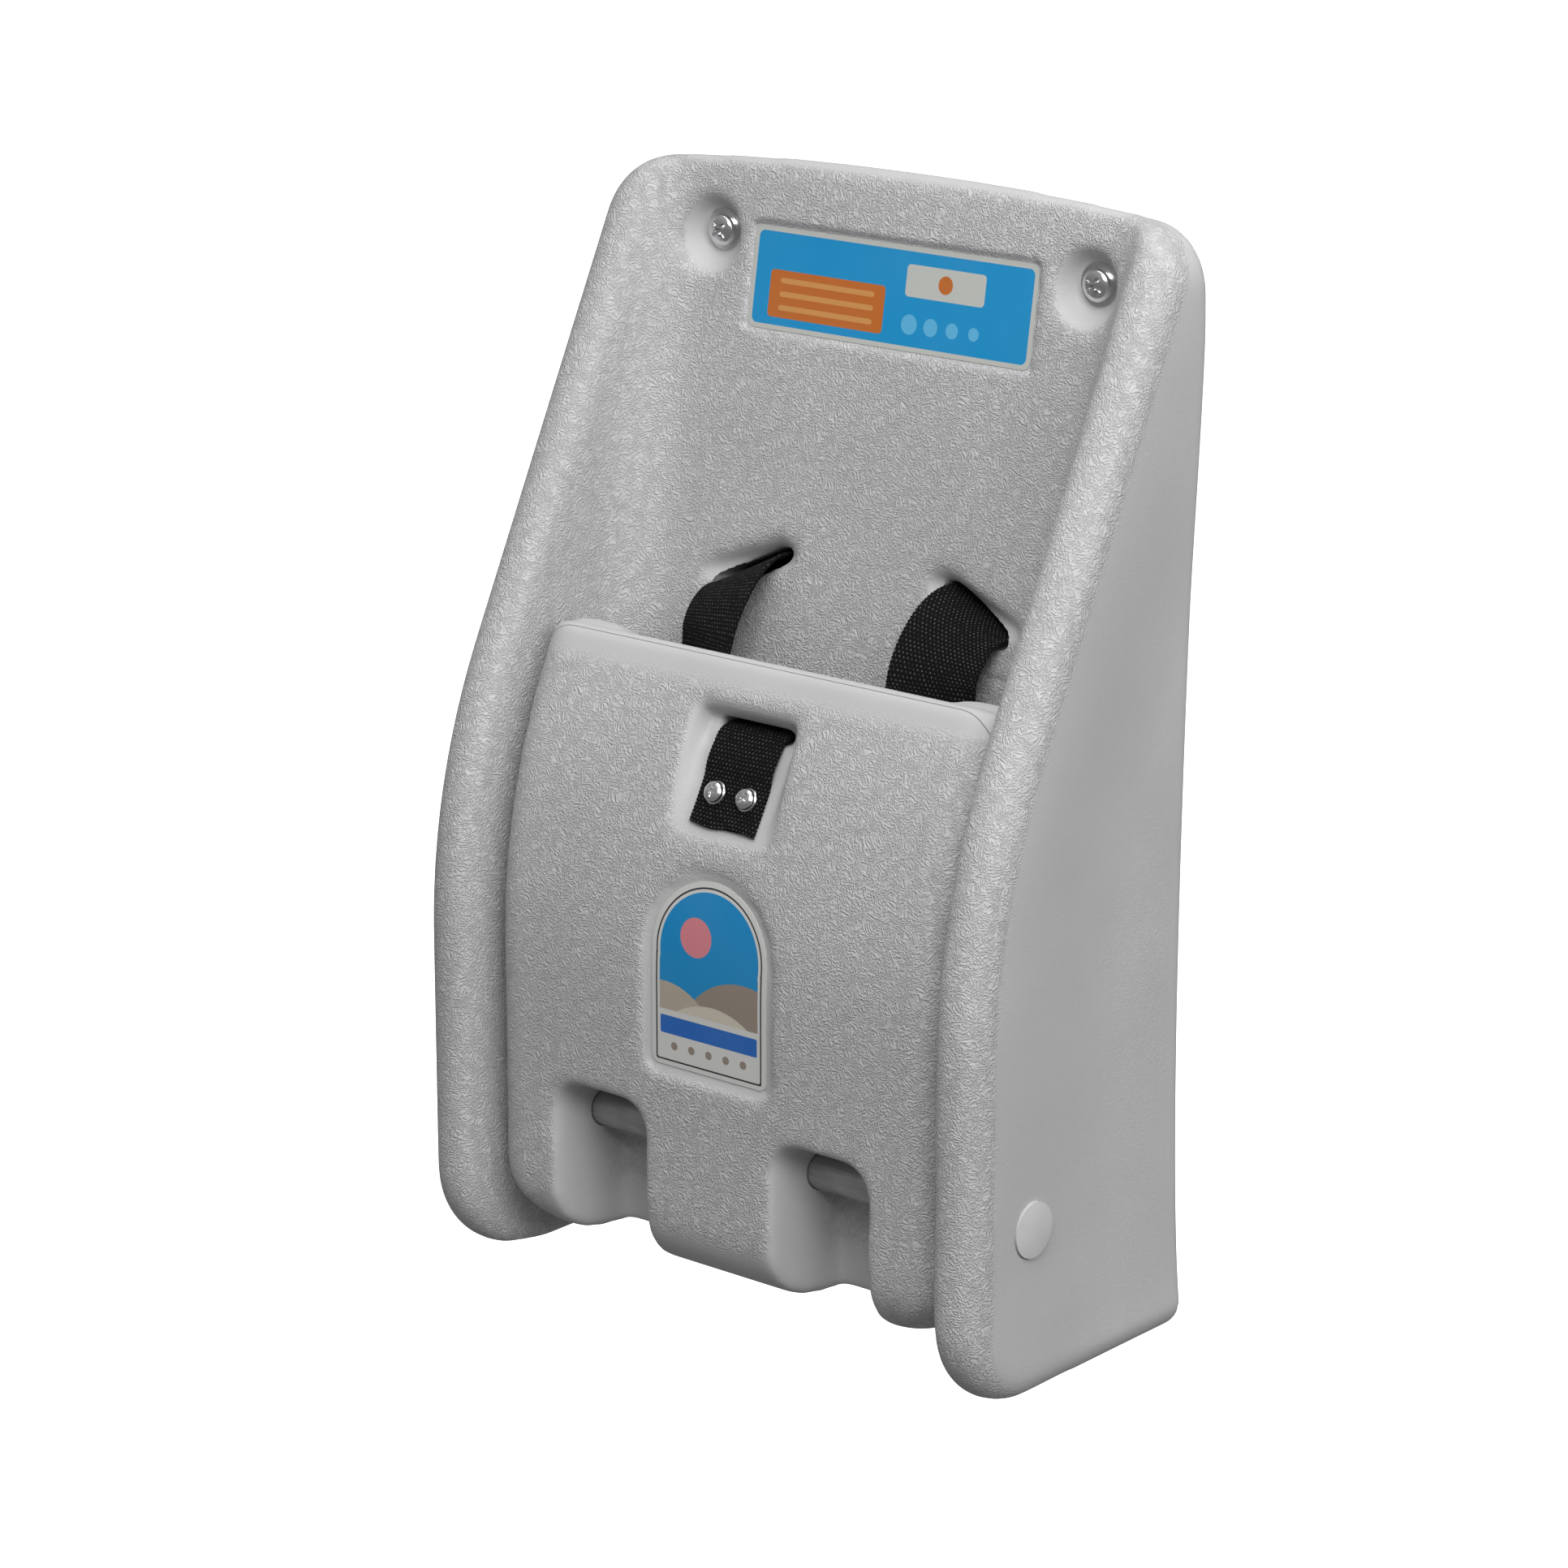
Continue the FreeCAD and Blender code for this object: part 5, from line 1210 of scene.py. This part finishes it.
class WALLSEAT_OT_crotch_strap(BuildStep, bpy.types.Operator):
    """Weave the crotch strap from its screws through the seat's slot to the buckle"""

    bl_idname = "wall_seat.crotch_strap"
    bl_label = "Crotch strap"

    def build(self, scene):
        harness = scene.wall_seat_harness
        level = Vector((1, 0, 0))
        run = Vector((0, CROTCH_OUT.z, -CROTCH_OUT.y))
        stations = []
        for along, lift in ((-15.1, 1.3), (-7, 1.0), (0, 1.0), (6, 1.2), (14, 2.8), (21, 2.4)):
            point = CROTCH_SCREW_SEAT + run * mm(along) + CROTCH_OUT * mm(lift)
            stations.append((point, level))
        behind = (
            (-110.6, 269.8), (-106.6, 271), (-97, 271), (-87.9, 271), (-84.2, 269.8),
            (-82.1, 266.3), (-82.3, 263), (-85.5, 250), (-87.8, 237.5), (-89.2, 224.7),
            (-90, 212), (-90, 198.2),
        )
        for y, height in behind:
            stations.append((Vector((0, mm(y), FLOOR_Z + mm(height))), level))
        obj = webbing_strip(
            "crotch_webbing", stations, harness.crotch_width, harness, wavy_end=mm(0.7)
        )
        dress(obj, woven_webbing(harness), "seat", "webbing", "crotch_strap")


class WALLSEAT_OT_buckle(BuildStep, bpy.types.Operator):
    """Round the edges of the buckle's pieces"""

    bl_idname = "wall_seat.buckle"
    bl_label = "Buckle"

    def build(self, scene):
        harness, fixings = scene.wall_seat_harness, scene.wall_seat_fixings
        plastic = black_plastic(harness)
        pieces = {
            "harness_yoke": "housing", "left_strap_keeper": "housing",
            "right_strap_keeper": "housing", "buckle_socket": "seat",
        }
        for node, body in pieces.items():
            obj = rounded_copy(node + "_rounded", node, fixings.buckle_edge)
            dress(obj, plastic, body, "buckle_plastic", node)


class WALLSEAT_OT_stage(BuildStep, bpy.types.Operator):
    """Set the floor, the light and the camera"""

    bl_idname = "wall_seat.stage"
    bl_label = "Stage"

    def build(self, scene):
        stage = scene.wall_seat_stage
        scene.view_settings.view_transform = "Standard"
        self.add_floor(stage)
        self.add_light(scene)
        self.add_camera(scene, stage)

    def add_floor(self, stage):
        work = bmesh.new()
        bmesh.ops.create_grid(work, x_segments=1, y_segments=1, size=30.0)
        floor = object_from(work, "floor")
        floor.data.transform(Matrix.Translation((0, 0, FLOOR_Z - stage.floor_drop)))
        shade = Shade("pale_floor", base_color=stage.floor_pale, roughness=0.9)
        shade.set("Emission Color", stage.floor_pale)
        shade.set("Emission Strength", 1.2)
        floor.data.materials.append(shade.material)
        floor.visible_diffuse = False
        floor.visible_glossy = False

    def add_light(self, scene):
        """A sky that brightens upwards, a soft key from the right and fills beside and above."""
        world = bpy.data.worlds.new("studio")
        world.use_nodes = True
        tree = world.node_tree
        coords = tree.nodes.new("ShaderNodeTexCoord")
        split = tree.nodes.new("ShaderNodeSeparateXYZ")
        climb = tree.nodes.new("ShaderNodeMapRange")
        climb.interpolation_type = "SMOOTHSTEP"
        reach = {"From Min": -0.2, "From Max": 0.8, "To Min": 0.19, "To Max": 0.355}
        for socket, value in reach.items():
            climb.inputs[socket].default_value = value
        tree.links.new(coords.outputs["Generated"], split.inputs[0])
        tree.links.new(split.outputs["Z"], climb.inputs["Value"])
        tree.links.new(climb.outputs[0], tree.nodes["Background"].inputs["Strength"])
        tree.nodes["Background"].inputs["Color"].default_value = (1.0, 1.0, 1.0, 1.0)
        scene.world = world
        self.add_panel("key", (1.0, -1.27, 1.36), 1.2, 32.0)
        self.add_panel("side", (1.93, -0.59, 0.73), 1.2, 18.0)
        self.add_panel("overhead", (0.0, -0.27, 1.99), 1.4, 16.0)

    def add_panel(self, name, place, size, power):
        """A square soft light that faces the seat."""
        light = bpy.data.lights.new(name, "AREA")
        light.size = size
        light.energy = power
        lamp = new_object(name, light)
        away = Vector(place) - Vector((0, FRONT_Y / 2, FLOOR_Z / 2))
        turn = away.to_track_quat("Z", "Y").to_matrix().to_4x4()
        lamp.matrix_world = Matrix.Translation(place) @ turn

    def add_camera(self, scene, stage):
        a, e = stage.azimuth, stage.elevation
        back = Vector((math.sin(a) * math.cos(e), -math.cos(a) * math.cos(e), math.sin(e)))
        right = Vector((math.cos(a), math.sin(a), 0))
        up = back.cross(right)
        place = Vector(stage.target) + back * stage.distance
        camera = bpy.data.cameras.new("camera")
        camera.lens = stage.lens
        camera.sensor_width = 36.0
        camera.clip_end = 200.0
        eye = new_object("camera", camera)
        turn = Matrix((right, up, back)).transposed().to_4x4()
        eye.matrix_world = Matrix.Translation(place) @ turn
        scene.camera = eye


class WALLSEAT_PT_pieces(bpy.types.Panel):
    """Lists the pieces that can be built"""

    bl_idname = "WALLSEAT_PT_pieces"
    bl_label = "Wall Seat"
    bl_space_type = "VIEW_3D"
    bl_region_type = "UI"
    bl_category = "Wall Seat"

    def draw(self, context):
        for operator in OPERATORS:
            self.layout.operator(operator.bl_idname)


GROUPS = {
    "wall_seat_moulding": WallSeatMoulding,
    "wall_seat_harness": WallSeatHarness,
    "wall_seat_fixings": WallSeatFixings,
    "wall_seat_stage": WallSeatStage,
}
OPERATORS = (
    WALLSEAT_OT_housing, WALLSEAT_OT_seat, WALLSEAT_OT_hinge, WALLSEAT_OT_prints,
    WALLSEAT_OT_fixings, WALLSEAT_OT_shoulder_straps, WALLSEAT_OT_crotch_strap,
    WALLSEAT_OT_buckle, WALLSEAT_OT_stage,
)


def register():
    for name, group in GROUPS.items():
        bpy.utils.register_class(group)
        setattr(bpy.types.Scene, name, PointerProperty(type=group))
    for cls in (*OPERATORS, WALLSEAT_PT_pieces):
        bpy.utils.register_class(cls)


def unregister():
    for cls in reversed((*OPERATORS, WALLSEAT_PT_pieces)):
        bpy.utils.unregister_class(cls)
    for name, group in reversed(GROUPS.items()):
        delattr(bpy.types.Scene, name)
        bpy.utils.unregister_class(group)


def main():
    register()
    for operator in OPERATORS:
        module, name = operator.bl_idname.split(".")
        getattr(getattr(bpy.ops, module), name)()


if __name__ == "__main__":
    main()
